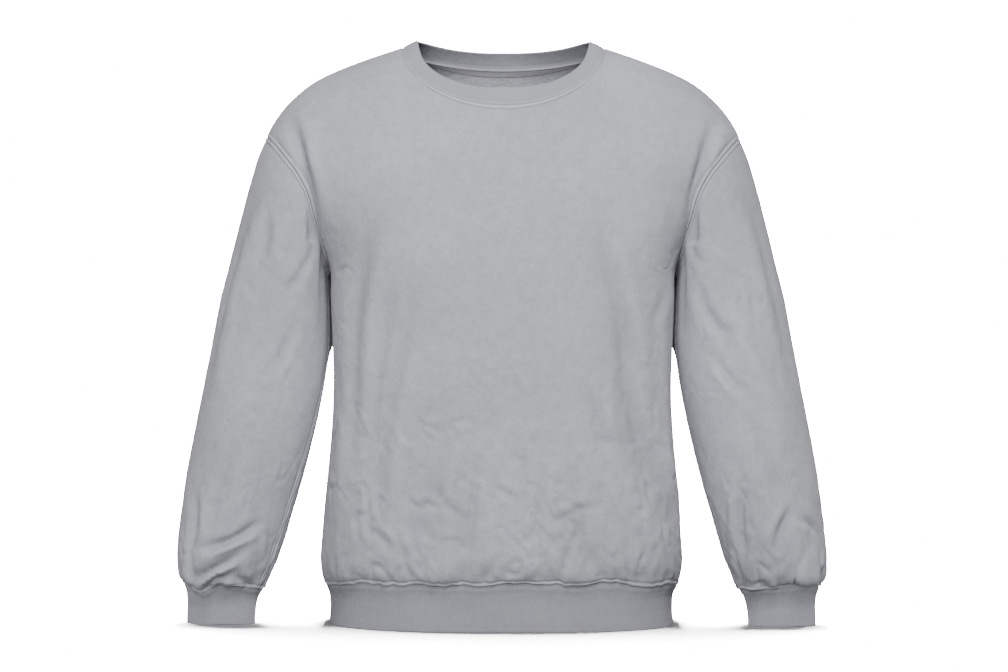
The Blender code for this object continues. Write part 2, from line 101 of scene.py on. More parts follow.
# Grid lines beside a seam that its stitches are placed by, and the stitches' distance from it.
SEAM_LINES = 14
STITCH_INSET = 1.9
NECK_STITCH_INSETS = (2.0, 4.6)

Points = np.ndarray
Feed = bpy.types.NodeSocket | float | tuple[float, ...]


class Face(Enum):
    """The two body panels, by the side of the wearer that they cover."""

    FRONT = -1
    BACK = 1


class Side(Enum):
    """The two sides of the garment, along X."""

    LEFT = 1
    RIGHT = -1


@dataclass(frozen=True)
class TorsoSection:
    """Level section of the body: half width, depth in front, at the side and behind, squareness."""

    height: float
    half_width: float
    front: float
    side: float
    back: float
    squareness: float


@dataclass(frozen=True)
class ArmSection:
    """Level section of a sleeve: its centre and half sizes."""

    height: float
    centre: float
    half_width: float
    half_depth: float
    middle: float


@dataclass(frozen=True)
class CollarLean:
    """How far the collar leans in from upright, by the angle round the neck from the front."""

    angle: float
    degrees: float
    share: float


@dataclass(frozen=True)
class ArmpitFold:
    """Spare cloth behind the armpit: where round the sleeve, at what height, how far it swings in."""

    turn: float = 225.0
    spread: float = 34.0
    level: float = -318.0
    span: float = 48.0
    swing: float = 24.0


@dataclass(frozen=True)
class HemRise:
    """How far the gathered hem seam rides up at the front and back, and hangs at the sides."""

    front: float = 7.0
    back: float = 3.0
    sides: float = 3.0
    front_depth: float = 122.0
    back_depth: float = 114.0


@dataclass(frozen=True)
class Gathers:
    """Gathers of full cloth at a tighter rib: rough pitch, height at the seam, and how far they run."""

    pitch: float
    depth: float
    fade: float


HEM_GATHERS = Gathers(22, 6.5, 34)
CUFF_GATHERS = Gathers(21, 10.5, 40)


@dataclass(frozen=True)
class Crumples:
    """Heights of the washed cloth's unevenness, from the broad to the fine."""

    slow: float = 1.9
    bulge: float = 1.2
    crease: float = 2.0
    small: float = 0.6
    grain: float = 0.14


@dataclass(frozen=True)
class Place:
    """A point on a seam: across, depth and height."""

    along: float
    across: float
    depth: float
    height: float


TORSO: tuple[TorsoSection, ...] = (
    TorsoSection(25, 45, -12, 8, 45, 2.0),
    TorsoSection(0, 121.4, -35, 8, 72, 2.0),
    TorsoSection(-14, 163, -48, 8, 84, 2.0),
    TorsoSection(-38, 220, -64, 8, 95, 2.05),
    TorsoSection(-62, 252, -78, 8, 102, 2.1),
    TorsoSection(-86, 272, -90, 7, 107, 2.2),
    TorsoSection(-110, 284, -99, 6, 111, 2.35),
    TorsoSection(-127, 286, -105, 6, 114, 2.45),
    TorsoSection(-144, 283, -109, 5, 116, 2.55),
    TorsoSection(-158, 275, -112, 5, 117, 2.6),
    TorsoSection(-178, 256, -116, 4, 118, 2.7),
    TorsoSection(-205, 235, -121, 3, 119, 2.8),
    TorsoSection(-237, 216, -126, 1, 120, 2.8),
    TorsoSection(-265, 206, -129, 0, 119, 2.8),
    TorsoSection(-300, 205, -130, 0, 118, 2.8),
    TorsoSection(-350, 203, -129, 0, 115, 2.8),
    TorsoSection(-400, 201.6, -128, 0, 113, 2.8),
    TorsoSection(-446, 202.8, -128, 0, 113, 2.8),
    TorsoSection(-494, 206.4, -129, 0, 114, 2.8),
    TorsoSection(-542, 211, -130, 0, 116, 2.8),
    TorsoSection(-590, 214.8, -131, 0, 119, 2.75),
    TorsoSection(-614, 216, -130, 0, 120, 2.7),
    TorsoSection(-630, 213.5, -126, 0, 118, 2.7),
    TorsoSection(-642, 208.5, -121, 0, 116, 2.7),
    TorsoSection(-650, 205.8, -119, 0, 115, 2.7),
    TorsoSection(-662, 204.6, -118, 0, 114, 2.7),
    TorsoSection(-674, 204.6, -118, 0, 114, 2.7),
    TorsoSection(-688, 205.8, -118.5, 0, 114.5, 2.7),
)

ARM: tuple[ArmSection, ...] = (
    ArmSection(-90, 231, 44, 50, 5),
    ArmSection(-110, 238, 46, 55, 5),
    ArmSection(-134, 244, 50, 60, 5),
    ArmSection(-157, 248, 53, 62, 5),
    ArmSection(-182, 252, 56, 64, 5),
    ArmSection(-213, 256, 60, 66, 4),
    ArmSection(-254, 261, 65, 68, 3),
    ArmSection(-302, 268, 70, 68, 1),
    ArmSection(-350, 275, 72, 67, 0),
    ArmSection(-422, 288, 72.3, 65, -8),
    ArmSection(-470, 297.6, 71.4, 63, -14),
    ArmSection(-518, 307.5, 69.3, 60, -20),
    ArmSection(-566, 317, 65.4, 56, -26),
    ArmSection(-590, 321.6, 63, 53, -29),
    ArmSection(-614, 326, 59, 48, -32),
    ArmSection(-632, 329.5, 53.5, 40, -34),
    ArmSection(-643, 329.5, 48, 31, -34),
    ArmSection(-650, 330, 44.4, 26, -34),
    ArmSection(-662, 331, 41.7, 21, -34),
    ArmSection(-675, 332, 40.8, 19, -34),
    ArmSection(-688, 332.5, 40.5, 18, -34),
)

COLLAR_LEAN: tuple[CollarLean, ...] = (
    CollarLean(0, 26, 1.0),
    CollarLean(45, 42, 0.96),
    CollarLean(90, 62, 0.82),
    CollarLean(112, 48, 0.84),
    CollarLean(140, 37, 0.82),
    CollarLean(180, 26, 0.80),
)

ARMHOLE: tuple[tuple[float, float, float], ...] = (
    (283, 6, -108),
    (280, -27, -112),
    (270, -52, -124),
    (256, -67, -141),
    (244, -73, -158),
    (231, -70, -180),
    (221, -58, -207),
    (212, -36, -240),
    (206, 0, -265),
)
ARMHOLE_MIDDLE = np.array((236.0, 4.0, -186.0))


def unit(vectors: Points) -> Points:
    """Vectors of length one."""
    return vectors / np.maximum(np.linalg.norm(vectors, axis=-1, keepdims=True), 1e-9)


def spaced(curve: Points, shares: Points) -> Points:
    """Points at shares of a curve's length.

    Args:
        curve: A dense row of points.
        shares: Places along it, from 0 to 1.

    Returns:
        One point for each share.
    """
    steps = np.linalg.norm(np.diff(curve, axis=0), axis=1)
    length = np.concatenate(([0.0], np.cumsum(steps)))
    wanted = np.asarray(shares) * length[-1]
    return np.stack([np.interp(wanted, length, curve[:, axis]) for axis in range(3)], axis=-1)


def ease(share: Points) -> Points:
    """Smooth step from 0 to 1 over shares from 0 to 1."""
    held = np.clip(share, 0, 1)
    return held * held * (3 - 2 * held)


def seam_shares(count: int, length: float, start: bool, end: bool) -> Points:
    """Shares of a line for mesh columns or rows that crowd together beside a seam.

    Args:
        count: How many spans to make.
        length: The line's rough length in millimetres.
        start: Whether a seam lies at share 0.
        end: Whether a seam lies at share 1.

    Returns:
        count + 1 shares from 0 to 1.
    """
    close = np.array((0.6, 0.8, 1.0, 1.0, 1.0, 1.0, 1.5, 2.2)) / length
    close = close[: max(1, min(len(close), count // 6))]
    used = close.sum() * (int(start) + int(end))
    left = count - len(close) * (int(start) + int(end))
    spans = np.concatenate((
        close if start else [], np.full(left, (1 - used) / left), close[::-1] if end else [],
    ))
    return np.concatenate(([0.0], np.cumsum(spans)))


class Sections:
    """Smooth values between the rows of a section table."""

    def __init__(self, rows: Sequence) -> None:
        """Keep the rows' columns as arrays, ordered by the first of them.

        Args:
            rows: Rows of a table, each a dataclass.
        """
        names = [item.name for item in fields(rows[0])]
        ordered = sorted(rows, key=lambda row: getattr(row, names[0]))
        self.stations = np.array([getattr(row, names[0]) for row in ordered], float)
        self.values = {n: np.array([getattr(row, n) for row in ordered], float) for n in names[1:]}
        self.slopes = {n: np.gradient(v, self.stations) for n, v in self.values.items()}

    def read(self, name: str, station: Points) -> Points:
        """Value of one column at any station, by cubic pieces between the rows.

        Args:
            name: The column.
            station: Values of the table's first column.

        Returns:
            One value for each station.
        """
        station = np.clip(station, self.stations[0], self.stations[-1])
        row = np.clip(np.searchsorted(self.stations, station) - 1, 0, len(self.stations) - 2)
        span = self.stations[row + 1] - self.stations[row]
        t = (station - self.stations[row]) / span
        low, high = self.values[name][row], self.values[name][row + 1]
        leave, arrive = self.slopes[name][row] * span, self.slopes[name][row + 1] * span
        bend = (2 * t**3 - 3 * t**2 + 1) * low + (3 * t**2 - 2 * t**3) * high
        return bend + (t**3 - 2 * t**2 + t) * leave + (t**3 - t**2) * arrive


class Noise:
    """Seeded gradient noise over points in millimetres."""

    def __init__(self, seed: int) -> None:
        """Draw the lattice directions.

        Args:
            seed: What sets this noise apart.
        """
        source = np.random.RandomState(seed)
        self.ways = unit(source.normal(size=(4096, 3)))
        self.seed = seed

    def at(self, points: Points, size: float, stretch: Sequence[float] = (1, 1, 1)) -> Points:
        """Noise from about -1 to 1.

        Args:
            points: Points to read it at.
            size: Width of a bump in millimetres.
            stretch: How much longer the bumps are along each axis.

        Returns:
            One value for each point.
        """
        spot = points / (size * np.asarray(stretch, float)) + self.seed * 7.31
        cell = np.floor(spot).astype(np.int64)
        part = spot - cell
        soft = part**3 * (part * (part * 6 - 15) + 10)
        total = np.zeros(points.shape[:-1])
        for corner in np.ndindex(2, 2, 2):
            step = np.array(corner)
            key = (cell + step) @ np.array((73856093, 19349663, 83492791))
            way = self.ways[np.abs(key ^ (key >> 13)) % 4096]
            weight = np.prod(np.where(step == 1, soft, 1 - soft), axis=-1)
            total += weight * ((part - step) * way).sum(axis=-1)
        return total * 1.6


class Form:
    """The smooth hollow shape of the worn garment, in millimetres, and the seams that lie on it."""

    def __init__(self) -> None:
        """Read the seams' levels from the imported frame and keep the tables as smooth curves."""
        self.torso = Sections(TORSO)
        self.arm = Sections(ARM)
        self.lean = Sections(COLLAR_LEAN)
        self.neck_half_width = 121.4
        self.neck_drop = {Face.FRONT: 76.0, Face.BACK: 15.0}
        self.neck_sag = {Face.FRONT: 1.1, Face.BACK: 2.0}
        self.underarm = -265.0
        self.shoulder_tip = -108.0
        self.hem_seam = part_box("hem_rib")[1][2] / MM + SEAM_GAP / 2
        self.hem_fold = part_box("hem_rib")[0][2] / MM
        self.cuff_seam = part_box("cuff_left")[1][2] / MM + SEAM_GAP / 2
        self.cuff_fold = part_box("cuff_left")[0][2] / MM
        self.seam_turn = {Side.LEFT: 8.0, Side.RIGHT: -13.0}
        self.armpit = ArmpitFold()
        self.rise = HemRise()

    def reach(self, depth: Points, height: Points) -> Points:
        """Half depth of the torso at a height, on the side that a depth lies.

        Args:
            depth: Places front to back in millimetres.
            height: Heights in millimetres.

        Returns:
            Millimetres from the side seam's depth, one for each.
        """
        side = self.torso.read("side", height)
        return np.where(depth < side, side - self.torso.read("front", height),
                        self.torso.read("back", height) - side)

    def level(self, points: Points) -> Points:
        """One on the torso's cloth, less inside it and more outside it.

        Args:
            points: Points of the cloth in millimetres.

        Returns:
            One value for each point.
        """
        across, depth, height = points[..., 0], points[..., 1], points[..., 2]
        power = self.torso.read("squareness", height)
        wide = np.abs(across) / self.torso.read("half_width", height)
        deep = np.abs(depth - self.torso.read("side", height)) / self.reach(depth, height)
        return (wide**power + deep**power + 1e-12) ** (1 / power)

    def slope(self, points: Points) -> Points:
        """Gradient of the level, which points out of the cloth.

        Args:
            points: Points of the cloth in millimetres.

        Returns:
            One vector for each point.
        """
        step = 0.05
        parts = [
            (self.level(points + axis * step) - self.level(points - axis * step)) / (2 * step)
            for axis in np.eye(3)
        ]
        return np.stack(parts, axis=-1)

    def settle(self, points: Points, rounds: int = 9) -> Points:
        """Points moved square to the cloth until they lie on the torso.

        Args:
            points: Points near the torso.
            rounds: How many steps to take.

        Returns:
            The moved points.
        """
        points = np.array(points, float)
        for _ in range(rounds):
            slope = self.slope(points)
            points -= ((self.level(points) - 1) / (slope**2).sum(axis=-1))[..., None] * slope
        return points

    def edge_depth(self, height: Points, face: Face) -> Points:
        """Depth of the middle of the front or back at a height."""
        return self.torso.read("front" if face is Face.FRONT else "back", height)

    def section_point(self, angle: Points, height: Points, face: Face) -> Points:
        """Point of the torso at a height, by its angle from straight ahead or behind.

        Args:
            angle: Angles from straight ahead or behind, in radians.
            height: Heights in millimetres.
            face: Front or back.

        Returns:
            One point for each.
        """
        side = self.torso.read("side", height)
        power = self.torso.read("squareness", height)
        wide, deep = np.abs(np.sin(angle)), np.abs(np.cos(angle))
        stretch = (wide**power + deep**power) ** (-1 / power)
        across = self.torso.read("half_width", height) * np.sin(angle) * stretch
        depth = side + (self.edge_depth(height, face) - side) * np.cos(angle) * stretch
        return np.stack([across, depth, height], axis=-1)

    def angle_of(self, point: Points, face: Face) -> float:
        """Angle that section_point needs to reach a point of the torso.

        Args:
            point: A point of the torso.
            face: Front or back.

        Returns:
            The angle in radians.
        """
        side = self.torso.read("side", point[2])
        deep = (point[1] - side) / (self.edge_depth(point[2], face) - side)
        return math.atan2(point[0] / self.torso.read("half_width", point[2]), deep)

    def side_seam(self, heights: Points, side: Side) -> Points:
        """Points of the side seam, as if it were at +X.

        Args:
            heights: Heights in millimetres.
            side: The seam's side.

        Returns:
            One point for each height.
        """
        share = np.clip((self.underarm - heights) / (self.underarm - self.hem_seam), 0, 1)
        turn = self.seam_turn[side] * share**2
        power = self.torso.read("squareness", heights)
        middle = self.torso.read("side", heights)
        part = np.abs(turn) / self.reach(middle + turn, heights)
        across = self.torso.read("half_width", heights) * (1 - part**power) ** (1 / power)
        return np.stack([across, middle + turn, heights], axis=-1)

    def armhole(self, face: Face, shares: Points) -> Points:
        """Armhole seam at +X, from the shoulder tip down to the underarm.

        Args:
            face: Front or back.
            shares: Places along its length, from 0 to 1.

        Returns:
            One point for each share.
        """
        knots = np.array(ARMHOLE, float)
        if face is Face.BACK:
            knots[1:-1, 1] = 2 * ARMHOLE_MIDDLE[1] - knots[1:-1, 1]
        steps = np.concatenate(([0.0], np.cumsum(np.linalg.norm(np.diff(knots, axis=0), axis=1))))
        table = Sections([Place(step, *knot) for step, knot in zip(steps, knots)])
        dense = np.linspace(0, steps[-1], 321)
        curve = np.stack([table.read(name, dense) for name in ("across", "depth", "height")], axis=-1)
        curve = self.settle(curve)
        for end in (0, -1):
            height = knots[end][2]
            curve[end] = self.torso.read("half_width", height), self.torso.read("side", height), height
        return spaced(curve, shares)

    def neckline(self, face: Face, shares: Points) -> Points:
        """Neck seam at +X, from the centre line to the high point of the shoulder.

        Args:
            face: Front or back.
            shares: Places along its length, from 0 to 1.

        Returns:
            One point for each share.
        """
        turn = np.linspace(0, QUARTER, 361)
        across = self.neck_half_width * np.sin(turn)
        height = -self.neck_drop[face] * np.cos(turn) ** self.neck_sag[face]
        side = self.torso.read("side", height)
        power = self.torso.read("squareness", height)
        wide = np.clip(across / self.torso.read("half_width", height), 0, 1)
        depth = side + (self.edge_depth(height, face) - side) * (1 - wide**power) ** (1 / power)
        return spaced(np.stack([across, depth, height], axis=-1), shares)

    def shoulder(self, shares: Points) -> Points:
        """Shoulder seam at +X, from its high point to its tip.

        Args:
            shares: Places along its length, from 0 to 1.

        Returns:
            One point for each share.
        """
        heights = np.linspace(0, self.shoulder_tip, 361)
        ridge = [self.torso.read("half_width", heights), self.torso.read("side", heights), heights]
        return spaced(np.stack(ridge, axis=-1), shares)

    def hem_rise(self, points: Points) -> Points:
        """Rise of the hem seam from level.

        Args:
            points: Points beside the seam.

        Returns:
            Millimetres up for each.
        """
        rise = self.rise
        front = np.clip(-points[..., 1] / rise.front_depth, 0, 1) ** 2
        rear = np.clip(points[..., 1] / rise.back_depth, 0, 1) ** 2
        return rise.front * front + rise.back * rear - rise.sides

    def sleeve_point(self, turn: Points, height: Points) -> Points:
        """Point of the sleeve at +X; turn 0 is its outer side and a quarter is its front.

        Args:
            turn: Places round the sleeve at +X, in radians.
            height: Heights in millimetres.

        Returns:
            One point for each.
        """
        across = self.arm.read("centre", height) + self.arm.read("half_width", height) * np.cos(turn)
        depth = self.arm.read("middle", height) - self.arm.read("half_depth", height) * np.sin(turn)
        return np.stack([across, depth, height], axis=-1)

    def armpit_fold(self, turn: Points, height: Points) -> Points:
        """How far the spare cloth behind the armpit swings in at the back of the torso's side.

        Args:
            turn: Places round the sleeve at +X, in radians.
            height: Heights in millimetres.

        Returns:
            Millimetres towards the torso for each.
        """
        fold = self.armpit
        round_it = (np.degrees(turn) - fold.turn) / fold.spread
        return fold.swing * np.exp(-(round_it**2) - ((height - fold.level) / fold.span) ** 4)

    def clear_of_torso(self, points: Points, weight: Points, clearance: float) -> Points:
        """Sleeve points moved out where they would press into the side of the torso.

        Args:
            points: Points of the sleeve at +X.
            weight: How far each is to be cleared, 0 at the armhole and 1 below it.
            clearance: The room left between the two cloths.

        Returns:
            The points, moved along X.
        """
        height = np.minimum(points[..., 2], self.underarm)
        power = self.torso.read("squareness", height)
        deep = np.abs(points[..., 1] - self.torso.read("side", height))
        deep = np.clip(deep / self.reach(points[..., 1], height), 0, 1)
        wall = self.torso.read("half_width", height) * (1 - deep**power) ** (1 / power)
        short = wall + clearance * weight - points[..., 0]
        push = weight * PRESS_SOFTNESS * np.log1p(np.exp(np.clip(short / PRESS_SOFTNESS, -30, 30)))
        moved = points.copy()
        moved[..., 0] += np.where(short > 0, np.maximum(push, short), push)
        return moved


@dataclass(frozen=True)
class Fold:
    """A soft trough or ridge: from its top to its foot, bowed sideways, with a raised lip beside it."""

    top_across: float
    top_height: float
    foot_across: float
    foot_height: float
    rise: float
    width: float
    bow: float = 0.0
    lip: float = 0.45


FRONT_FOLDS: tuple[Fold, ...] = (
    Fold(250, -92, 222, -215, -12, 9, -4, 0.3),
    Fold(-250, -92, -222, -215, -12, 9, 4, 0.3),
    Fold(-150, -205, -176, -470, -6.4, 14, -10, 0.6),
    Fold(-128, -290, -152, -520, -4.5, 11, -5, 0.5),
    Fold(-104, -300, -146, -600, -4.8, 12, -8, 0.5),
    Fold(-182, -300, -192, -560, 4.2, 10, 3, 0.2),
    Fold(-60, -420, -96, -590, -3.1, 9, 6, 0.5),
    Fold(-20, -470, -38, -610, -3.4, 8, -5, 0.5),
    Fold(10, -455, 26, -560, -2.8, 8, 6, 0.5),
    Fold(46, -480, 30, -615, -3.6, 8, 5, 0.5),
    Fold(110, -225, 150, -420, -5.9, 14, 8, 0.6),
    Fold(138, -330, 186, -560, -5.6, 13, -8, 0.6),
    Fold(96, -410, 122, -480, -4.2, 8, 3, 0.5),
    Fold(186, -290, 196, -520, 3.6, 10, -3, 0.2),
    Fold(84, -500, 104, -620, -3.6, 8, -4, 0.5),
    Fold(160, -450, 206, -585, -4.6, 10, 5, 0.5),
    Fold(-118, -120, -60, -170, -1.4, 14, 5, 0.3),
    Fold(140, -95, 80, -160, -1.5, 13, -5, 0.3),
    Fold(190, -288, 176, -330, -2.8, 7, 2, 0.5),
    Fold(-10, -520, 20, -540, -2.2, 6, 3, 0.6),
    Fold(-78, -520, -40, -560, -2.5, 7, -3, 0.6),
    Fold(60, -560, 110, -540, -2.2, 6, 3, 0.6),
    Fold(-170, -560, -120, -600, -2.5, 7, 4, 0.6),
)

BACK_FOLDS: tuple[Fold, ...] = (
    Fold(250, -92, 222, -215, -12, 9, -4, 0.3),
    Fold(-250, -92, -222, -215, -12, 9, 4, 0.3),
    Fold(-138, -190, -168, -450, -6.2, 14, -8, 0.6),
    Fold(-96, -300, -120, -560, -4.5, 12, 6, 0.5),
    Fold(-40, -380, -58, -600, -3.6, 10, 5, 0.5),
    Fold(28, -330, 40, -590, -3.9, 10, -6, 0.5),
    Fold(84, -280, 110, -560, -4.8, 13, 6, 0.5),
    Fold(146, -220, 176, -470, -6.2, 14, 8, 0.6),
    Fold(182, -420, 196, -600, -4.2, 10, -4, 0.5),
    Fold(-180, -400, -196, -590, -4.2, 10, 4, 0.5),
    Fold(0, -60, 0, -210, -1.7, 22, 0, 0.2),
    Fold(60, -500, 20, -570, -2.5, 8, 4, 0.5),
    Fold(-80, -480, -110, -530, -2.5, 8, 3, 0.5),
)

# On a sleeve the first number of each pair is degrees round it from its outer side by the front.
LEFT_SLEEVE_FOLDS: tuple[Fold, ...] = (
    Fold(120, -290, 100, -345, -6.8, 8, 6, 0.8),
    Fold(132, -225, 108, -262, -5.1, 7, 3, 0.6),
    Fold(112, -372, 88, -415, -5.4, 7, 4, 0.7),
    Fold(100, -300, 62, -470, 4.4, 14, -6, 0.3),
    Fold(40, -170, 30, -420, -4.4, 13, 4, 0.5),
    Fold(66, -545, 92, -600, -7.8, 7, 5, 0.6),
    Fold(60, -556, 20, -590, -7.4, 7, -4, 0.6),
    Fold(20, -596, 28, -628, -7.0, 5, 0, 0.4),
    Fold(112, -520, 130, -600, -7.4, 8, 4, 0.6),
    Fold(90, -450, 70, -540, -3.7, 10, 4, 0.5),
    Fold(200, -280, 230, -340, -6.1, 8, 5, 0.7),
    Fold(240, -250, 262, -330, -5.4, 8, -4, 0.6),
    Fold(290, -200, 310, -430, -4.8, 13, 5, 0.5),
    Fold(268, -380, 286, -460, -5.1, 8, 4, 0.6),
    Fold(250, -520, 276, -590, -7.4, 8, 4, 0.6),
    Fold(316, -540, 300, -600, -6.4, 7, 3, 0.6),
    Fold(350, -260, 352, -480, -3.4, 12, 3, 0.4),
    Fold(148, -185, 150, -350, -17, 12, 0, 0),
    Fold(96, -165, 132, -275, -10, 10, 2, 0.1),
)

RIGHT_SLEEVE_FOLDS: tuple[Fold, ...] = (
    Fold(58, -205, 70, -262, -4.4, 8, 4, 0.6),
    Fold(38, -180, 24, -420, -5.4, 14, -4, 0.6),
    Fold(128, -235, 104, -300, -5.4, 8, -3, 0.6),
    Fold(112, -330, 92, -400, -4.1, 8, 4, 0.5),
    Fold(118, -568, 60, -596, -9.5, 6.5, 5, 0.8),
    Fold(104, -606, 52, -626, -9.0, 5.5, 4, 0.8),
    Fold(20, -590, 26, -628, -7.0, 5, 0, 0.4),
    Fold(84, -470, 66, -560, -4.1, 11, -4, 0.5),
    Fold(44, -530, 50, -600, -5.9, 8, 3, 0.5),
    Fold(205, -285, 232, -350, -5.8, 8, 5, 0.7),
    Fold(246, -240, 266, -320, -5.1, 8, -4, 0.6),
    Fold(292, -210, 312, -450, -5.1, 13, -5, 0.5),
    Fold(262, -390, 284, -470, -4.8, 8, 4, 0.6),
    Fold(256, -530, 280, -600, -7.4, 8, 4, 0.6),
    Fold(320, -545, 304, -604, -7.0, 7, 3, 0.6),
    Fold(352, -300, 350, -500, -3.7, 12, 3, 0.4),
    Fold(148, -185, 150, -350, -17, 12, 0, 0),
    Fold(96, -165, 132, -275, -10, 10, 2, 0.1),
)


# Height of each cuff seam above its level, by degrees round it from its outer side by the front.
CUFF_WAVES: dict[Side, tuple[tuple[float, float], ...]] = {
    Side.LEFT: ((0, 1.5), (30, 3), (62, 6.5), (78, 4), (110, 1.5), (150, -1.5), (180, -3), (225, 2),
                (270, -3), (315, 3)),
    Side.RIGHT: ((0, 4), (42, 1), (64, -10), (86, 6), (118, 3), (155, -5), (190, -2), (235, 3),
                 (280, -4), (325, 1)),
}


def cuff_wave(turn: Points, side: Side) -> Points:
    """How far a cuff seam rides up at each turn round it.

    Args:
        turn: Places round the cuff, 0 at its outer side and a quarter at its front.
        side: The cuff's side.

    Returns:
        Millimetres up for each.
    """
    around = np.arange(360.0)
    angles, heights = zip(*CUFF_WAVES[side])
    wave = np.interp(around, angles, heights, period=360)
    soft = np.exp(-((np.arange(-20, 21) / 8.0) ** 2))
    wave = np.convolve(np.tile(wave, 3), soft / soft.sum(), "same")[360:720]
    return np.interp(np.degrees(turn) % 360, around, wave, period=360)


def fold_relief(flat: Points, folds: Sequence[Fold], reach: float = 1.0) -> Points:
    """Height that folds add to a cloth.

    Args:
        flat: Across and height of each point, in the folds' own numbers.
        folds: The folds.
        reach: Millimetres for one of the across numbers.

    Returns:
        Millimetres out of the cloth for each point.
    """
    scale = np.array((reach, 1.0))
    spots = flat * scale
    total = np.zeros(flat.shape[:-1])
    for item in folds:
        start = np.array((item.top_across, item.top_height)) * scale
        foot = np.array((item.foot_across, item.foot_height)) * scale
        run = foot - start
        length = math.hypot(*run)
        way = run / length
        beside = np.array((-way[1], way[0]))
        share = ((spots - start) @ way) / length
        held = np.clip(share, 0, 1)
        off = (spots - start) @ beside - item.bow * 4 * held * (1 - held)
        past = (share - held) * length
        taper = np.sin(math.pi * np.clip(0.04 + 0.92 * held, 0, 1)) ** 0.8
        width = item.width * (0.75 + 0.5 * np.abs(held - 0.4))
        core = np.exp(-(off**2 + past**2) / width**2)
        lip = np.exp(-((off - 1.5 * width) ** 2 + past**2) / (1.3 * width) ** 2)
        total += item.rise * taper * (core - item.lip * lip)
    return total


class Knit:
    """Small unevenness that every cloth of the garment shares."""

    def __init__(self) -> None:
        """Seed the noises."""
        self.broad = Noise(3)
        self.medium = Noise(11)
        self.fine = Noise(23)
        self.crumples = Crumples()

    def crumple(self, points: Points, amount: Points) -> Points:
        """Soft crumples of washed fleece.

        Args:
            points: Points of the cloth in millimetres.
            amount: How crumpled it is at each, from 0 to 1.

        Returns:
            Millimetres out of the cloth.
        """
        drift = self.broad.at(points, 60)[..., None] * np.array((12.0, 0, 6.0))
        spots = points + drift
        bulges = 1 - 2 * np.abs(self.medium.at(spots, 34, (0.8, 1, 1.4)))
        lines = self.fine.at(spots + (points[..., 2:] * 0.45) * (1, 0, 0), 21, (1, 1, 2.1))
        strokes = ease(self.medium.at(points + 311, 30, (1, 1, 1.3)) * 1.8 + 0.35)
        crease = -np.exp(-((lines / 0.10) ** 2)) + 0.5 * np.exp(-((np.abs(lines) - 0.25) / 0.13) ** 2)
        small = self.fine.at(spots, 12, (1, 1, 1.2))
        slow = self.broad.at(points, 95, (1, 1, 1.5))
        grain = self.fine.at(points, 6.0)
        height = self.crumples
        sharp = height.bulge * bulges + height.crease * strokes * crease + height.small * small
        return height.slow * slow + amount * sharp + height.grain * grain

    def pucker(self, points: Points, gap: Points, gathers: Gathers) -> Points:
        """Gathers where full cloth meets a tighter rib.

        Args:
            points: Points of the cloth in millimetres.
            gap: Millimetres from the seam.
            gathers: Their sizes.

        Returns:
            Millimetres out of the cloth.
        """
        line = np.stack([points[..., 0], points[..., 1], gap * 0.2], axis=-1)
        long_run = self.medium.at(line, gathers.pitch)
        short_run = self.fine.at(line, gathers.pitch * 0.55)
        lift = np.exp(-gap / gathers.fade) * (1 - np.exp(-(((gap + 0.8) / 2.5) ** 2)))
        crease = 0.35 - np.exp(-((long_run / 0.16) ** 2))
        fine = 0.6 * short_run * np.exp(-2 * gap / gathers.fade)
        return gathers.depth * lift * (0.9 * long_run + 0.7 * crease + fine)

    def wander(self, points: Points, amount: float) -> Points:
        """How far a gathered seam strays up or down along its length."""
        line = points * (1, 1, 0) + (0, 0, 40)
        return amount * (self.medium.at(line, 34) + 0.55 * self.fine.at(line, 13))


def grid_normals(grid: Points, around: bool) -> Points:
    """Unit normals of a grid of points from the ways of its rows and columns."""
    run = np.roll(grid, -1, axis=1) - np.roll(grid, 1, axis=1) if around else np.gradient(grid, axis=1)
    return unit(np.cross(run, np.gradient(grid, axis=0)))


def grid_lengths(grid: Points, axis: int) -> Points:
    """Length run along a grid's rows or columns up to each of its points.

    Args:
        grid: The points.
        axis: 0 to run up the columns, 1 to run along the rows.

    Returns:
        Millimetres from the first row or column.
    """
    steps = np.linalg.norm(np.diff(grid, axis=axis), axis=-1)
    start = np.zeros_like(grid[..., 0]).take([0], axis=axis)
    return np.concatenate((start, np.cumsum(steps, axis=axis)), axis=axis)


@dataclass
class Cloth:
    """A made sheet of cloth: its outer and inner points, its outward ways and its own coordinates."""

    outer: Points
    inner: Points
    outward: Points
    along: Points
    up: Points
    # Colour marks: wear, with painted shade in seam lines, grooves and fold troughs and painted light on
    # fold ridges and cuffs.
    wear: Points
    around: bool


def edge_quads(first: Points, second: Points, flip: bool) -> tuple[Points, Points]:
    """Quads that join a sheet's face to its inside along an edge.

    Args:
        first: Grid places at one end of each quad.
        second: Grid places at its other end.
        flip: Whether the quads turn the other way.

    Returns:
        Grid places of the quads' corners, and 0 for a corner on the face or 1 for one on the inside.
    """
    pair = np.stack([first, second, second, first], axis=1)
    skin = np.tile((0, 0, 1, 1), (len(first), 1))
    return (pair[:, ::-1], skin[:, ::-1]) if flip else (pair, skin)


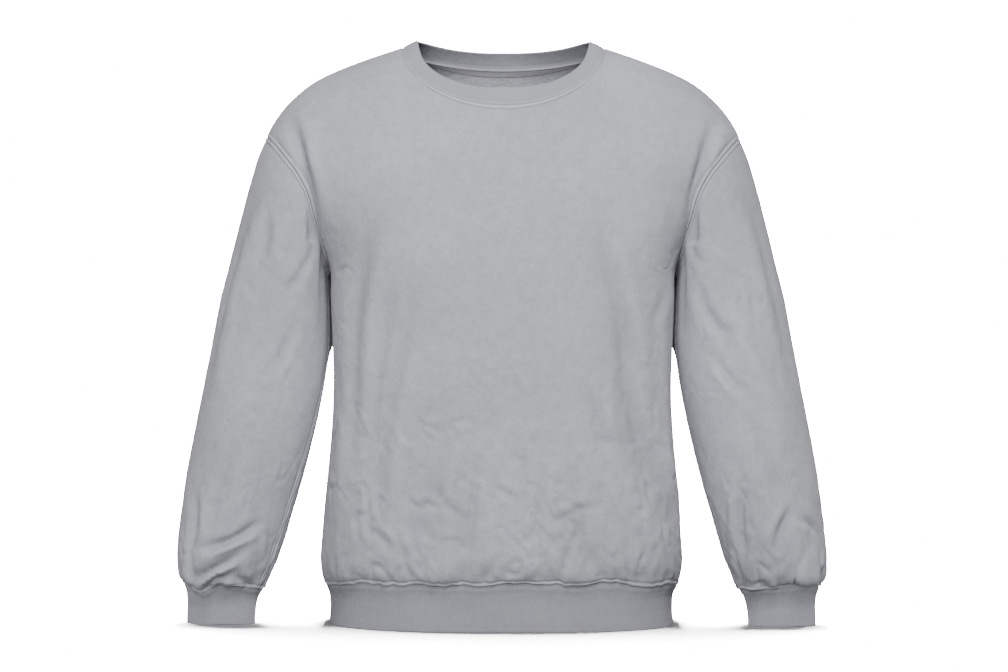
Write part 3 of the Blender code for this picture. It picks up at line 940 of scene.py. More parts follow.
def sheet_object(name: str, cloth: Cloth, finishes: Sequence[bpy.types.Material]) -> bpy.types.Object:
    """Make the closed mesh of a sheet, with its own UV map and an attribute of wear and painted light and
    shade.

    Args:
        name: The piece's name.
        cloth: The sheet, in millimetres.
        finishes: Material of the face, then of the inside.

    Returns:
        The new object, at the origin.
    """
    rows, columns = cloth.outer.shape[:2]
    spans = columns if cloth.around else columns - 1
    count = rows * columns
    row, column = np.meshgrid(np.arange(rows - 1), np.arange(spans), indexing="ij")
    row, column = row.ravel(), column.ravel()
    corners = np.stack([
        np.stack([row, column], -1), np.stack([row, column + 1], -1),
        np.stack([row + 1, column + 1], -1), np.stack([row + 1, column], -1),
    ], axis=1)
    places = [corners, corners[:, ::-1]]
    skins = [np.zeros(corners.shape[:2], int), np.ones(corners.shape[:2], int)]
    edges = []
    for edge, flip in ((0, False), (rows - 1, True)):
        line, fixed = np.arange(spans), np.full(spans, edge)
        edges.append(edge_quads(np.stack([fixed, line + 1], -1), np.stack([fixed, line], -1), flip))
    for edge, flip in () if cloth.around else ((0, False), (columns - 1, True)):
        line, fixed = np.arange(rows - 1), np.full(rows - 1, edge)
        edges.append(edge_quads(np.stack([line, fixed], -1), np.stack([line + 1, fixed], -1), flip))
    place = np.concatenate(places + [pair for pair, _ in edges])
    skin = np.concatenate(skins + [skin for _, skin in edges])
    index = skin * count + place[..., 0] * columns + place[..., 1] % columns
    mid = (rows // 2, columns // 3)
    turn = np.cross(cloth.outer[mid[0], mid[1] + 1] - cloth.outer[mid],
                    cloth.outer[mid[0] + 1, mid[1]] - cloth.outer[mid])
    if turn @ cloth.outward[mid] < 0:
        index, place, skin = index[:, ::-1], place[:, ::-1], skin[:, ::-1]
    vertices = np.concatenate((cloth.outer.reshape(-1, 3), cloth.inner.reshape(-1, 3))) * MM
    mesh = bpy.data.meshes.new(name)
    mesh.from_pydata(vertices, [], index.tolist())
    along = cloth.along
    if cloth.around:
        closing = 2 * along[:, -1:] - along[:, -2:-1]
        along = np.concatenate((along, closing), axis=1)
        up = np.concatenate((cloth.up, cloth.up[:, :1]), axis=1)
    else:
        up = cloth.up
    layer = mesh.uv_layers.new(name="cloth")
    spots = np.stack([along[place[..., 0], place[..., 1]], up[place[..., 0], place[..., 1]]], -1) * MM
    layer.data.foreach_set("uv", spots.reshape(-1).astype(np.float32))
    wear = mesh.attributes.new("wear", "FLOAT", "POINT")
    wear.data.foreach_set("value", np.tile(cloth.wear.ravel(), 2).astype(np.float32))
    inside = np.zeros(len(index), dtype=np.int32)
    inside[len(corners): 2 * len(corners)] = 1
    for finish in finishes:
        mesh.materials.append(finish)
    mesh.polygons.foreach_set("material_index", inside)
    mesh.shade_smooth()
    mesh.set_sharp_from_angle(angle=math.radians(62))
    mesh.validate()
    mesh.update()
    piece = bpy.data.objects.new(name, mesh)
    bpy.context.scene.collection.objects.link(piece)
    return piece


def inset_line(stack: Points, distance: float) -> Points:
    """Line that keeps a distance from a seam.

    Args:
        stack: Grid lines of a sheet, the seam's own line first.
        distance: Millimetres from the seam along the cloth.

    Returns:
        One point for each point of the seam.
    """
    run = grid_lengths(stack, 0)
    line = np.empty(stack.shape[1:])
    for place in range(stack.shape[1]):
        line[place] = [np.interp(distance, run[:, place], stack[:, place, axis]) for axis in range(3)]
    return line


@dataclass(frozen=True)
class SeamProfile:
    """Section across a sewn seam: a sunk line, then its raised allowance, then a needle groove."""

    sunk: float
    ridge: float
    ridge_width: float
    groove: float
    groove_width: float
    sunk_width: float = 1.0
    ridge_at: float = 2.8
    groove_at: float = 5.4

    def at(self, gap: Points, sunk: float | Points | None = None) -> Points:
        """Value of the profile.

        Args:
            gap: Millimetres from the seam.
            sunk: Depth of the sunk line, where it isn't the profile's own.

        Returns:
            One value for each gap.
        """
        depth = self.sunk if sunk is None else sunk
        ridge = self.ridge * np.exp(-(((gap - self.ridge_at) / self.ridge_width) ** 2))
        line = depth * np.exp(-((gap / self.sunk_width) ** 2))
        return ridge - line - self.groove * np.exp(-(((gap - self.groove_at) / self.groove_width) ** 2))


# Height of a seam's section, and its colour: the ridge paler from garment-dye wear, the sunk line and
# needle groove darker as painted shade.
SEAM_RELIEF = SeamProfile(sunk=1.0, ridge=0.7, ridge_width=1.5, groove=0.8, groove_width=0.9)
SEAM_WEAR_AND_PAINTED_SHADE = SeamProfile(sunk=1.3, ridge=1.6, ridge_width=1.6, groove=1.7, groove_width=1.0)


@dataclass
class ArmholeRing:
    """The armhole seam at +X, all round from the shoulder tip by the front."""

    form: Form
    spans: int = 84

    def __post_init__(self) -> None:
        """Lay out the ring and its ways."""
        self.shares = seam_shares(self.spans, 255.0, True, True)
        front = self.form.armhole(Face.FRONT, self.shares)
        back = self.form.armhole(Face.BACK, self.shares)
        self.points = np.concatenate((front, back[-2:0:-1]))
        tangent = unit(np.roll(self.points, -1, axis=0) - np.roll(self.points, 1, axis=0))
        away = self.points - ARMHOLE_MIDDLE
        self.rim = unit(away - (away * tangent).sum(axis=-1, keepdims=True) * tangent)
        self.sleeve_way = unit(np.cross(self.rim, tangent))

    def half(self, face: Face) -> tuple[Points, Points]:
        """Rim and sleeve ways of one side, from the underarm up to the tip.

        Args:
            face: Front or back.

        Returns:
            Ways out of the rim and along the sleeve, one for each grid line's end.
        """
        order = np.arange(self.spans, -1, -1)
        if face is Face.BACK:
            order = (-order) % len(self.points)
        return self.rim[order], self.sleeve_way[order]


@dataclass
class BodyPanel:
    """Front or back: one cut panel from the hem seam to the neck and shoulder seams."""

    form: Form
    knit: Knit
    ring: ArmholeRing
    face: Face
    folds: Sequence[Fold]
    neck_columns: int = 44
    shoulder_columns: int = 48
    side_rows: int = 118
    chest_drop: float = 15.0
    side_length: float = 380.0
    shoulder_length: float = 195.0
    half_girth: float = 290.0
    edge_fade: float = 14.0
    coarse_rows: tuple[int, int] = (10, 9)
    cloth: Cloth | None = field(default=None, init=False)

    def half_grid(self, side: Side) -> Points:
        """Smooth outer points of one half, as if it were at +X, rows from the hem up.

        Args:
            side: The half's side.

        Returns:
            Grid of points in millimetres.
        """
        form, face = self.form, self.face
        columns = self.neck_columns + self.shoulder_columns
        low = seam_shares(self.side_rows, self.side_length, True, False)
        high = 1 - self.ring.shares[::-1]
        chest = form.underarm - self.chest_drop
        centre = np.concatenate((
            form.hem_seam + (chest - form.hem_seam) * low,
            (chest + (-form.neck_drop[face] - chest) * high)[1:],
        ))
        edge = np.concatenate((
            form.side_seam(form.hem_seam + (form.underarm - form.hem_seam) * low, side),
            form.armhole(face, self.ring.shares[::-1])[1:],
        ))
        top = np.concatenate((
            form.neckline(face, np.linspace(0, 1, self.neck_columns + 1)),
            form.shoulder(seam_shares(self.shoulder_columns, self.shoulder_length, False, True))[1:],
        ))
        shares = seam_shares(columns, self.half_girth, False, True)
        fan = np.linspace(0, 1, 161)
        base = []
        for middle, end in zip(centre, edge):
            level = middle + (end[2] - middle) * fan**2
            base.append(spaced(form.section_point(fan * form.angle_of(end, face), level, face), shares))
        base = np.array(base)
        below, above = self.coarse_rows
        place = np.concatenate((below * low, (below + above * high)[1:]))
        rise = np.clip((place - below + 2) / (above + 2), 0, 1) ** 1.5
        grid = form.settle(base + rise[:, None, None] * (top - base[-1]))
        grid[:, -1] = edge
        grid[-1] = top
        return grid

    def make(self) -> Cloth:
        """Lay out, fold and thicken the whole panel.

        Returns:
            The sheet.
        """
        left, right = self.half_grid(Side.LEFT), self.half_grid(Side.RIGHT) * (-1, 1, 1)
        smooth = np.concatenate((right[:, :0:-1], left), axis=1)
        up, across = grid_lengths(smooth, 0), grid_lengths(smooth, 1)
        middle = smooth.shape[1] // 2
        from_top = up[-1] - up
        from_side = np.minimum(across, across[:, -1:] - across)
        outward = self.turn_rims(unit(self.form.slope(smooth)), from_side)
        along = across - across[:, middle:middle + 1]
        down = -smooth[..., 2]
        calm, above = self.calm(smooth, from_side)
        busy = 0.25 + 0.85 * ease((down - 330) / 240) + 0.25 * ease((np.abs(smooth[..., 0]) - 120) / 90)
        folded = fold_relief(smooth[..., [0, 2]], self.folds)
        relief = (folded + self.knit.crumple(smooth, busy)) * calm
        relief += self.knit.pucker(smooth, up, HEM_GATHERS) * (0.3 + 0.7 * calm)
        edge = np.minimum(np.minimum(from_side * (1 + above), from_top), up + 4)
        near = 1 - np.exp(-(edge / self.edge_fade) ** 2)
        gap = np.minimum(np.minimum(from_side, from_top), up)
        relief = relief * near + SEAM_RELIEF.at(gap, 0.45 + 0.75 * np.exp(-up / 10))
        grid = smooth + relief[..., None] * outward
        stray = self.knit.wander(smooth, HEM_STRAY) + self.form.hem_rise(smooth)
        grid[..., 2] += stray * np.exp(-up / 30)
        normals = grid_normals(grid, False)
        if (normals * outward).sum() < 0:
            normals = -normals
        normals = self.turn_rims(normals, from_side)
        grid = self.open_seams(grid)
        # Colour marks: seam ridges paler from wear, seam lines and needle grooves darker as painted shade,
        # fold ridges paler and troughs darker as painted light and shade.
        wear = SEAM_WEAR_AND_PAINTED_SHADE.at(gap) + 0.10 * relief
        self.cloth = Cloth(grid, grid - CLOTH_WALL * normals, normals, along, up, wear, False)
        return self.cloth

    def calm(self, smooth: Points, from_side: Points) -> tuple[Points, Points]:
        """How freely the cloth creases.

        Args:
            smooth: Points of the panel before its folds.
            from_side: Millimetres from the side seam or armhole.

        Returns:
            A share that drops beside the side seams, and how far each point is above the underarm.
        """
        above = ease((smooth[..., 2] - self.form.underarm + 10) / 50)
        below = 0.08 + 0.92 * ease((from_side - 10) / 66)
        return below * (1 - above) + above * ease((from_side + 4) / 16), above

    def turn_rims(self, normals: Points, from_side: Points) -> Points:
        """Outward ways that lean into the armhole's rim beside its seam.

        Args:
            normals: Outward ways of the whole panel.
            from_side: Millimetres from its side edges.

        Returns:
            The changed ways.
        """
        rim, _ = self.ring.half(self.face)
        for column, flip in ((-1, 1), (0, -1)):
            way = rim * (flip, 1, 1)
            half = slice(normals.shape[1] // 2, None) if column else slice(0, normals.shape[1] // 2)
            weight = np.exp(-((from_side[self.side_rows:, half] / 5.0) ** 2))[..., None]
            normals[self.side_rows:, half] = unit(
                normals[self.side_rows:, half] * (1 - weight) + way[:, None] * weight)
        return normals

    def open_seams(self, grid: Points) -> Points:
        """Move the border points half a seam gap into the panel.

        Args:
            grid: Points of the whole panel.

        Returns:
            The changed points.
        """
        gap = SEAM_GAP / 2
        _, sleeve_way = self.ring.half(self.face)
        grid[:, [0, -1], 1] += self.face.value * gap
        grid[self.side_rows:, -1] -= gap * sleeve_way
        grid[self.side_rows:, 0] -= gap * sleeve_way * (-1, 1, 1)
        grid[-1] += gap * unit(grid[-2] - grid[-1])
        grid[0, :, 2] += gap
        return grid

    def seam_lines(self) -> dict[str, Points]:
        """Stacks of grid lines that start at each seam, for stitches.

        Returns:
            A stack for each seam's name.
        """
        middle = self.cloth.outer.shape[1] // 2
        neck = slice(middle - self.neck_columns, middle + self.neck_columns + 1)
        down = self.cloth.outer[::-1]
        return {
            "neck": down[:, neck],
            "shoulder_left": down[:, middle + self.neck_columns:],
            "shoulder_right": down[:, :middle - self.neck_columns + 1],
            "hem": self.cloth.outer,
            "armhole_left": self.cloth.outer[self.side_rows:, ::-1].transpose(1, 0, 2),
            "armhole_right": self.cloth.outer[self.side_rows:].transpose(1, 0, 2),
        }


@dataclass
class Sleeve:
    """One sleeve: a tube from the armhole seam to the cuff seam, full above the cuff."""

    form: Form
    knit: Knit
    ring: ArmholeRing
    side: Side
    folds: Sequence[Fold]
    twist: float
    rows: int = 168
    length: float = 480.0
    girth: float = 66.0
    clearance: float = 2.6
    blend: float = 120.0
    cloth: Cloth | None = field(default=None, init=False)

    def make(self) -> Cloth:
        """Lay out, fold and thicken the tube.

        Returns:
            The sheet, on its own side.
        """
        form, ring = self.form, self.ring.points
        arcs = np.concatenate((self.ring.shares, 2 - self.ring.shares[-2:0:-1])) * math.pi
        shares = seam_shares(self.rows, self.length, True, True)[:, None]
        height = ring[:, 2] + (form.cuff_seam - ring[:, 2]) * shares
        travel = (ring[:, 2] - form.cuff_seam) * shares
        turn = arcs - math.radians(self.twist) * ease(shares)
        offset = ring - form.sleeve_point(arcs, ring[:, 2])
        smooth = form.sleeve_point(turn, height)
        fade = 1 - ease(travel / self.blend)
        smooth[..., :2] += offset[None, :, :2] * fade[..., None]
        held = ease(travel / 14)
        smooth[..., 0] -= form.armpit_fold(turn, height) * np.clip(travel / 30 - 0.15, 0, 1)
        smooth[1:] = form.clear_of_torso(smooth[1:], held[1:], self.clearance)
        outward = grid_normals(smooth, True)
        if outward[self.rows // 2, 0, 0] < 0:
            outward = -outward
        up = grid_lengths(smooth, 0)
        lean = np.exp(-((up / 5.0) ** 2))[..., None]
        outward = unit(outward * (1 - lean) + self.ring.rim * lean)
        from_cuff = up[-1] - up
        hug = np.exp(-((smooth[..., 0] - form.torso.read("half_width", height) - 6) / 26) ** 2) * held
        hug = hug * (height < form.underarm + 30) * (height > -400)
        flat = np.stack([np.degrees(turn) % 360, height], -1)
        spot = smooth + (self.side.value * SIDE_SHIFT, 0, 0)
        busy = 0.45 + 0.6 * ease((-height - 420) / 160) + 0.25 * np.exp(-((height + 330) / 70) ** 2)
        facing = np.abs(np.sin(turn))
        calm = 0.12 + 0.88 * facing**0.8
        folded = fold_relief(flat, self.folds, math.radians(1) * self.girth)
        relief = folded * (0.3 + 0.7 * ease(facing / 0.5)) + self.knit.crumple(spot, busy) * calm
        relief += self.knit.pucker(spot, from_cuff, CUFF_GATHERS) * calm
        near = (1 - np.exp(-((up / 14.0) ** 2))) * (1 - np.exp(-(((from_cuff + 4) / 8.0) ** 2)))
        relief = relief * near * (1 - 0.75 * hug)
        relief = np.where(hug > 0.3, np.minimum(relief, 1.2), relief)
        relief += SEAM_RELIEF.at(np.minimum(up, from_cuff), 0.45 + 0.75 * np.exp(-from_cuff / 10))
        under = np.abs((arcs - math.pi)) * self.girth
        relief += 0.8 * SEAM_RELIEF.at(np.broadcast_to(under, relief.shape)) * near
        grid = smooth + relief[..., None] * outward
        stray = cuff_wave(turn, self.side) + self.knit.wander(spot, CUFF_STRAY)
        grid[..., 2] += stray * np.exp(-from_cuff / 26)
        normals = grid_normals(grid, True)
        if (normals * outward).sum() < 0:
            normals = -normals
        normals = unit(normals * (1 - lean) + self.ring.rim * lean)
        grid[0] += SEAM_GAP / 2 * self.ring.sleeve_way
        grid[-1, :, 2] += SEAM_GAP / 2
        along = np.broadcast_to(np.unwrap(arcs) * self.girth, relief.shape)
        # Colour marks: seam ridges paler from wear, seam lines and needle grooves darker as painted shade,
        # fold ridges paler and troughs darker as painted light and shade.
        wear = SEAM_WEAR_AND_PAINTED_SHADE.at(np.minimum(np.minimum(up, from_cuff), under)) + 0.10 * relief
        flip = np.array((self.side.value, 1, 1))
        self.cloth = Cloth(grid * flip, (grid - CLOTH_WALL * normals) * flip, normals * flip,
                           along, up.copy(), wear, True)
        return self.cloth


@dataclass
class RibBand:
    """A doubled band of 1x1 rib: its middle surface is swept from its seam to its folded edge."""

    knit: Knit
    rib_pitch: float = 2.6
    rib_height: float = 0.26
    per_rib: int = 4
    rows: int = 17
    tuck: float = 2.6

    def stations(self, width: float) -> Points:
        """Places along the band from its seam to its fold, crowded round the fold.

        Args:
            width: Finished width of the band.

        Returns:
            Millimetres from the seam.
        """
        fold = RIB_WALL / 2 * np.array((1.3, 0.85, 0.5, 0.22, 0.06, 0.0))
        body = np.linspace(0, width - fold[0] - 0.8, self.rows)
        return np.concatenate(((-self.tuck, -0.4 * self.tuck), body, width - fold))

    def columns(self, length: float) -> int:
        """Mesh columns for whole ribs round a band."""
        return self.per_rib * round(length / self.rib_pitch)

    def cloth(self, seam_to_fold: Callable[[float], tuple[Points, Points]], width: float,
              length: float) -> Cloth:
        """Sweep the band.

        Args:
            seam_to_fold: Gives outer points and outward ways all round at a distance from the seam.
            width: Finished width of the band.
            length: Length round it.

        Returns:
            The sheet, a closed tube.
        """
        count = self.columns(length)
        ribs = np.cos(2 * math.pi * np.arange(count) / self.per_rib)
        outer, inner, outs, ups, wear_and_painted_light_rows = [], [], [], [], []
        half_wall = RIB_WALL / 2
        for run in self.stations(width):
            left = width - run
            half = math.sqrt(max(half_wall**2 - max(half_wall - left, 0) ** 2, 0.01))
            points, out = seam_to_fold(run)
            fade = ease(np.array(left / 1.6)) * (0.35 + 0.65 * ease(np.array(run / 4)))
            ridge = self.rib_height * (ribs - 1) * fade
            slack = 0.5 * self.knit.broad.at(points, 46) + 0.12 * self.knit.fine.at(points, 9)
            middle = points - out * half_wall
            groove = -0.7 * math.exp(-((run / 1.2) ** 2)) if run > 0 else -0.7 + 0.75 * run
            loose = slack * min(1, max(0, run) / 8)
            outer.append(middle + out * (half + ridge + loose + groove)[:, None])
            inner.append(middle - out * (half + ridge - loose - min(0, 0.75 * run))[:, None])
            outs.append(out)
            ups.append(np.full(count, run))
            # Colour marks: rib grooves darker as painted shade, seam lines and needle groove darker as
            # painted shade, seam ridge paler from wear, and the folded edge paler.
            wear_and_painted_light_rows.append(1.1 * ridge / self.rib_height * 0.35 + SEAM_WEAR_AND_PAINTED_SHADE.at(np.full(count, run)) * 0.8
                         + 0.5 * math.exp(-((left / 1.5) ** 2)))
        along = np.broadcast_to(np.arange(count) * self.rib_pitch / self.per_rib, (len(outer), count))
        return Cloth(np.array(outer), np.array(inner), np.array(outs), along, np.array(ups),
                     np.array(wear_and_painted_light_rows), True)


@dataclass
class Collar:
    """Neck rib: it stands up from the neck seam and leans in to its fold."""

    form: Form
    band: RibBand
    width: float = 24.8
    length: float = 640.0
    made: Cloth | None = field(default=None, init=False)

    def ring(self, count: int) -> tuple[Points, Points, Points, Points]:
        """Seam points all round, with the rim, band and outward ways at each.

        Args:
            count: How many points to lay out.

        Returns:
            Seam points, and the rim, band and outward ways at each.
        """
        dense = np.linspace(0, 1, 241)
        front = self.form.neckline(Face.FRONT, dense)
        back = self.form.neckline(Face.BACK, dense[::-1])
        half = np.concatenate((front, back[1:]))
        whole = np.concatenate((half, (half * (-1, 1, 1))[-2::-1]))
        ring = spaced(whole, np.arange(count) / count)
        rim = unit(self.form.slope(ring))
        tangent = unit(np.roll(ring, -3, axis=0) - np.roll(ring, 3, axis=0))
        inward = unit(np.cross(tangent * (1, 1, 0), (0, 0, -1)))
        inward *= np.sign((inward * (np.array((0, 8, 0)) - ring)).sum(axis=1, keepdims=True))
        angle = np.degrees(np.abs(np.arctan2(ring[:, 0], -(ring[:, 1] - 8))))
        tilt = np.radians(self.form.lean.read("degrees", angle))[:, None]
        share = self.form.lean.read("share", angle)[:, None]
        way = inward * np.sin(tilt) + np.array((0, 0, 1.0)) * np.cos(tilt)
        outward = unit(np.cross(tangent, way))
        outward *= np.sign((outward * rim).sum(axis=1, keepdims=True))
        return ring, rim, way * share, outward

    def make(self) -> Cloth:
        """Sweep the collar.

        Returns:
            The sheet.
        """
        ring, rim, way, outward = self.ring(self.band.columns(self.length))

        def at(run: float) -> tuple[Points, Points]:
            """Outer points and outward ways of the collar all round.

            Args:
                run: Millimetres from the seam.

            Returns:
                The points, and a way at each.
            """
            share = run / self.width
            out = unit(rim * (1 - share) ** 2 + outward * (1 - (1 - share) ** 2))
            bulge = 0.7 * math.sin(math.pi * min(1, share * 1.05))
            return ring + way * (run + SEAM_GAP / 2) + outward * bulge, out

        self.made = self.band.cloth(at, self.width, self.length)
        return self.made


@dataclass
class HemRib:
    """Hem rib: it hangs from the hem seam to its fold, following the body's own section."""

    form: Form
    band: RibBand
    length: float = 1090.0
    made: Cloth | None = field(default=None, init=False)

    def loop(self, height: float, count: int) -> Points:
        """Points of the section at a height, evenly spaced from the front centre past +X.

        Args:
            height: Height of the section.
            count: How many points to lay out.

        Returns:
            The points in order.
        """
        fan = np.linspace(0, QUARTER, 241)
        level = np.full(241, float(height))
        front = self.form.section_point(fan, level, Face.FRONT)
        back = self.form.section_point(fan[::-1], level, Face.BACK)
        half = np.concatenate((front, back[1:]))
        whole = np.concatenate((half, (half * (-1, 1, 1))[-2::-1]))
        return spaced(whole, np.arange(count) / count)

    def make(self) -> Cloth:
        """Sweep the hem rib.

        Returns:
            The sheet.
        """
        width = self.form.hem_seam - self.form.hem_fold
        count = self.band.columns(self.length)

        def at(run: float) -> tuple[Points, Points]:
            """Outer points and outward ways of the hem rib all round.

            Args:
                run: Millimetres from the seam.

            Returns:
                The points, and a way at each.
            """
            points = self.loop(self.form.hem_seam - SEAM_GAP / 2 - run, count)
            out = unit(self.form.slope(points) * (1, 1, 0))
            stray = self.band.knit.wander(points, HEM_STRAY) + self.form.hem_rise(points)
            points[:, 2] += stray * math.exp(-max(0, run) / 12)
            return points, out

        self.made = self.band.cloth(at, width - SEAM_GAP / 2, self.length)
        return self.made


@dataclass
class Cuff:
    """Cuff rib: a flat oval band below the sleeve's gathers."""

    form: Form
    band: RibBand
    side: Side
    length: float = 208.0
    # Painted light: the whole cuff made paler, standing in for light that the sleeve's overhang keeps off
    # it.
    rubbed: float = 2.0
    made: Cloth | None = field(default=None, init=False)

    def make(self) -> Cloth:
        """Sweep the cuff.

        Returns:
            The sheet, on its own side.
        """
        width = self.form.cuff_seam - self.form.cuff_fold
        count = self.band.columns(self.length)
        turn = 2 * math.pi * np.arange(count) / count
        shift = np.array((self.side.value * SIDE_SHIFT, 0, 0))

        def at(run: float) -> tuple[Points, Points]:
            """Outer points and outward ways of the cuff all round.

            Args:
                run: Millimetres from the seam.

            Returns:
                The points, and a way at each.
            """
            height = np.full(count, self.form.cuff_seam - SEAM_GAP / 2 - run)
            points = self.form.sleeve_point(turn, height)
            wide = self.form.arm.read("half_width", height)
            deep = self.form.arm.read("half_depth", height)
            out = unit(np.stack([np.cos(turn) / wide, -np.sin(turn) / deep, 0 * turn], axis=-1))
            flute = 0.9 * self.band.knit.medium.at((points + shift) * (1, 1, 0.2), 20)
            points = points + out * (flute * min(1, max(0, run) / 10))[:, None]
            stray = cuff_wave(turn, self.side) + self.band.knit.wander(points + shift, CUFF_STRAY)
            points[:, 2] += stray * math.exp(-max(0, run) / 16)
            return points, out

        made = self.band.cloth(at, width - SEAM_GAP / 2, self.length)
        flip = np.array((self.side.value, 1, 1))
        # The cuff's colour is lifted all round as painted light.
        self.made = Cloth(made.outer * flip, made.inner * flip, made.outward * flip, made.along,
                          made.up, made.wear + self.rubbed, True)
        return self.made


@dataclass
class NeckTape:
    """Narrow jersey strip over the back neck seam, inside the back panel."""

    back: BodyPanel
    width: float = 10.0
    top: float = 0.6
    lift: float = 0.5
    reach: float = 0.86
    rows: int = 7

    def make(self) -> Cloth:
        """Lay the strip on the back's inner points.

        Returns:
            The sheet, its face towards the wearer.
        """
        cloth = self.back.cloth
        middle = cloth.outer.shape[1] // 2
        half = int(self.back.neck_columns * self.reach)
        part = slice(middle - half, middle + half + 1)
        lines = cloth.inner[::-1, part][:30]
        ways = -cloth.outward[-1, part]
        rows = []
        for step, run in enumerate(np.linspace(self.top, self.top + self.width, self.rows)):
            edge = 0.35 if step in (0, self.rows - 1) else 0.0
            rows.append(inset_line(lines, run) + ways * (self.lift + TAPE_WALL - edge))
        face = np.array(rows)
        along, up = grid_lengths(face, 1), grid_lengths(face, 0)
        wear = 0.3 - np.exp(-((np.minimum(up, up[-1] - up) / 1.0) ** 2))
        return Cloth(face, face - TAPE_WALL * ways, np.broadcast_to(ways, face.shape), along, up, wear,
                     False)


@dataclass(frozen=True)
class Stitching:
    """Rows of straight needle stitches, each a short sunk dash of thread."""

    pitch: float = 3.1
    dash: float = 2.35
    radius: float = 0.27
    sides: int = 6

    def dashes(self, line: Points, outward: Points, closed: bool) -> tuple[Points, Points]:
        """Vertices and faces of one row.

        Args:
            line: Points that the row follows.
            outward: Ways out of the cloth at them.
            closed: Whether the row runs all round.

        Returns:
            Vertices in millimetres, and quads that index them.
        """
        if closed:
            line, outward = np.vstack((line, line[:1])), np.vstack((outward, outward[:1]))
        steps = np.concatenate(([0.0], np.cumsum(np.linalg.norm(np.diff(line, axis=0), axis=1))))
        count = max(2, int(steps[-1] / self.pitch))
        middles = (np.arange(count) + 0.5) * steps[-1] / count
        profile = ((-0.5, -0.30, 0.4), (-0.32, 0.02, 1.0), (0.32, 0.02, 1.0), (0.5, -0.30, 0.4))
        rings = []
        for along, lift, size in profile:
            spot = middles + along * self.dash
            centre = np.stack([np.interp(spot, steps, line[:, a]) for a in range(3)], -1)
            way = unit(np.stack([np.interp(spot, steps, outward[:, a]) for a in range(3)], -1))
            ahead = np.stack([np.interp(spot + 0.4, steps, line[:, a]) for a in range(3)], -1)
            behind = np.stack([np.interp(spot - 0.4, steps, line[:, a]) for a in range(3)], -1)
            beside = unit(np.cross(ahead - behind, way))
            turn = 2 * math.pi * np.arange(self.sides) / self.sides
            ring = centre[:, None] + lift * way[:, None]
            ring = ring + size * self.radius * (
                np.cos(turn)[None, :, None] * beside[:, None] + np.sin(turn)[None, :, None] * way[:, None])
            rings.append(ring)
        body = np.stack(rings, axis=1).reshape(-1, 3)
        faces = []
        for station in range(3):
            for spoke in range(self.sides):
                after = (spoke + 1) % self.sides
                here, there = station * self.sides, (station + 1) * self.sides
                faces.append((here + spoke, here + after, there + after, there + spoke))
        start = np.arange(count)[:, None, None] * (4 * self.sides)
        quads = (np.array(faces)[None] + start).reshape(-1, 4)
        ends = []
        for station in (0, 3):
            base = station * self.sides
            ends += [(base, base + 1, base + 2, base + 3), (base, base + 3, base + 4, base + 5)]
        caps = (np.array(ends)[None] + start).reshape(-1, 4)
        return body, np.concatenate((quads, caps))

    def piece(self, name: str, lines: Sequence[tuple[Points, Points, bool]],
              finish: bpy.types.Material) -> bpy.types.Object:
        """Join rows of stitches into one object.

        Args:
            name: The piece's name.
            lines: Each row's points, outward ways and whether it is closed.
            finish: Thread material.

        Returns:
            The new object.
        """
        vertices, quads, used = [], [], 0
        for line, outward, closed in lines:
            body, faces = self.dashes(line, outward, closed)
            vertices.append(body)
            quads.append(faces + used)
            used += len(body)
        mesh = bpy.data.meshes.new(name)
        mesh.from_pydata(np.concatenate(vertices) * MM, [], np.concatenate(quads).tolist())
        shape = bmesh.new()
        shape.from_mesh(mesh)
        bmesh.ops.recalc_face_normals(shape, faces=shape.faces[:])
        shape.to_mesh(mesh)
        shape.free()
        mesh.shade_smooth()
        mesh.materials.append(finish)
        thread = bpy.data.objects.new(name, mesh)
        bpy.context.scene.collection.objects.link(thread)
        return thread


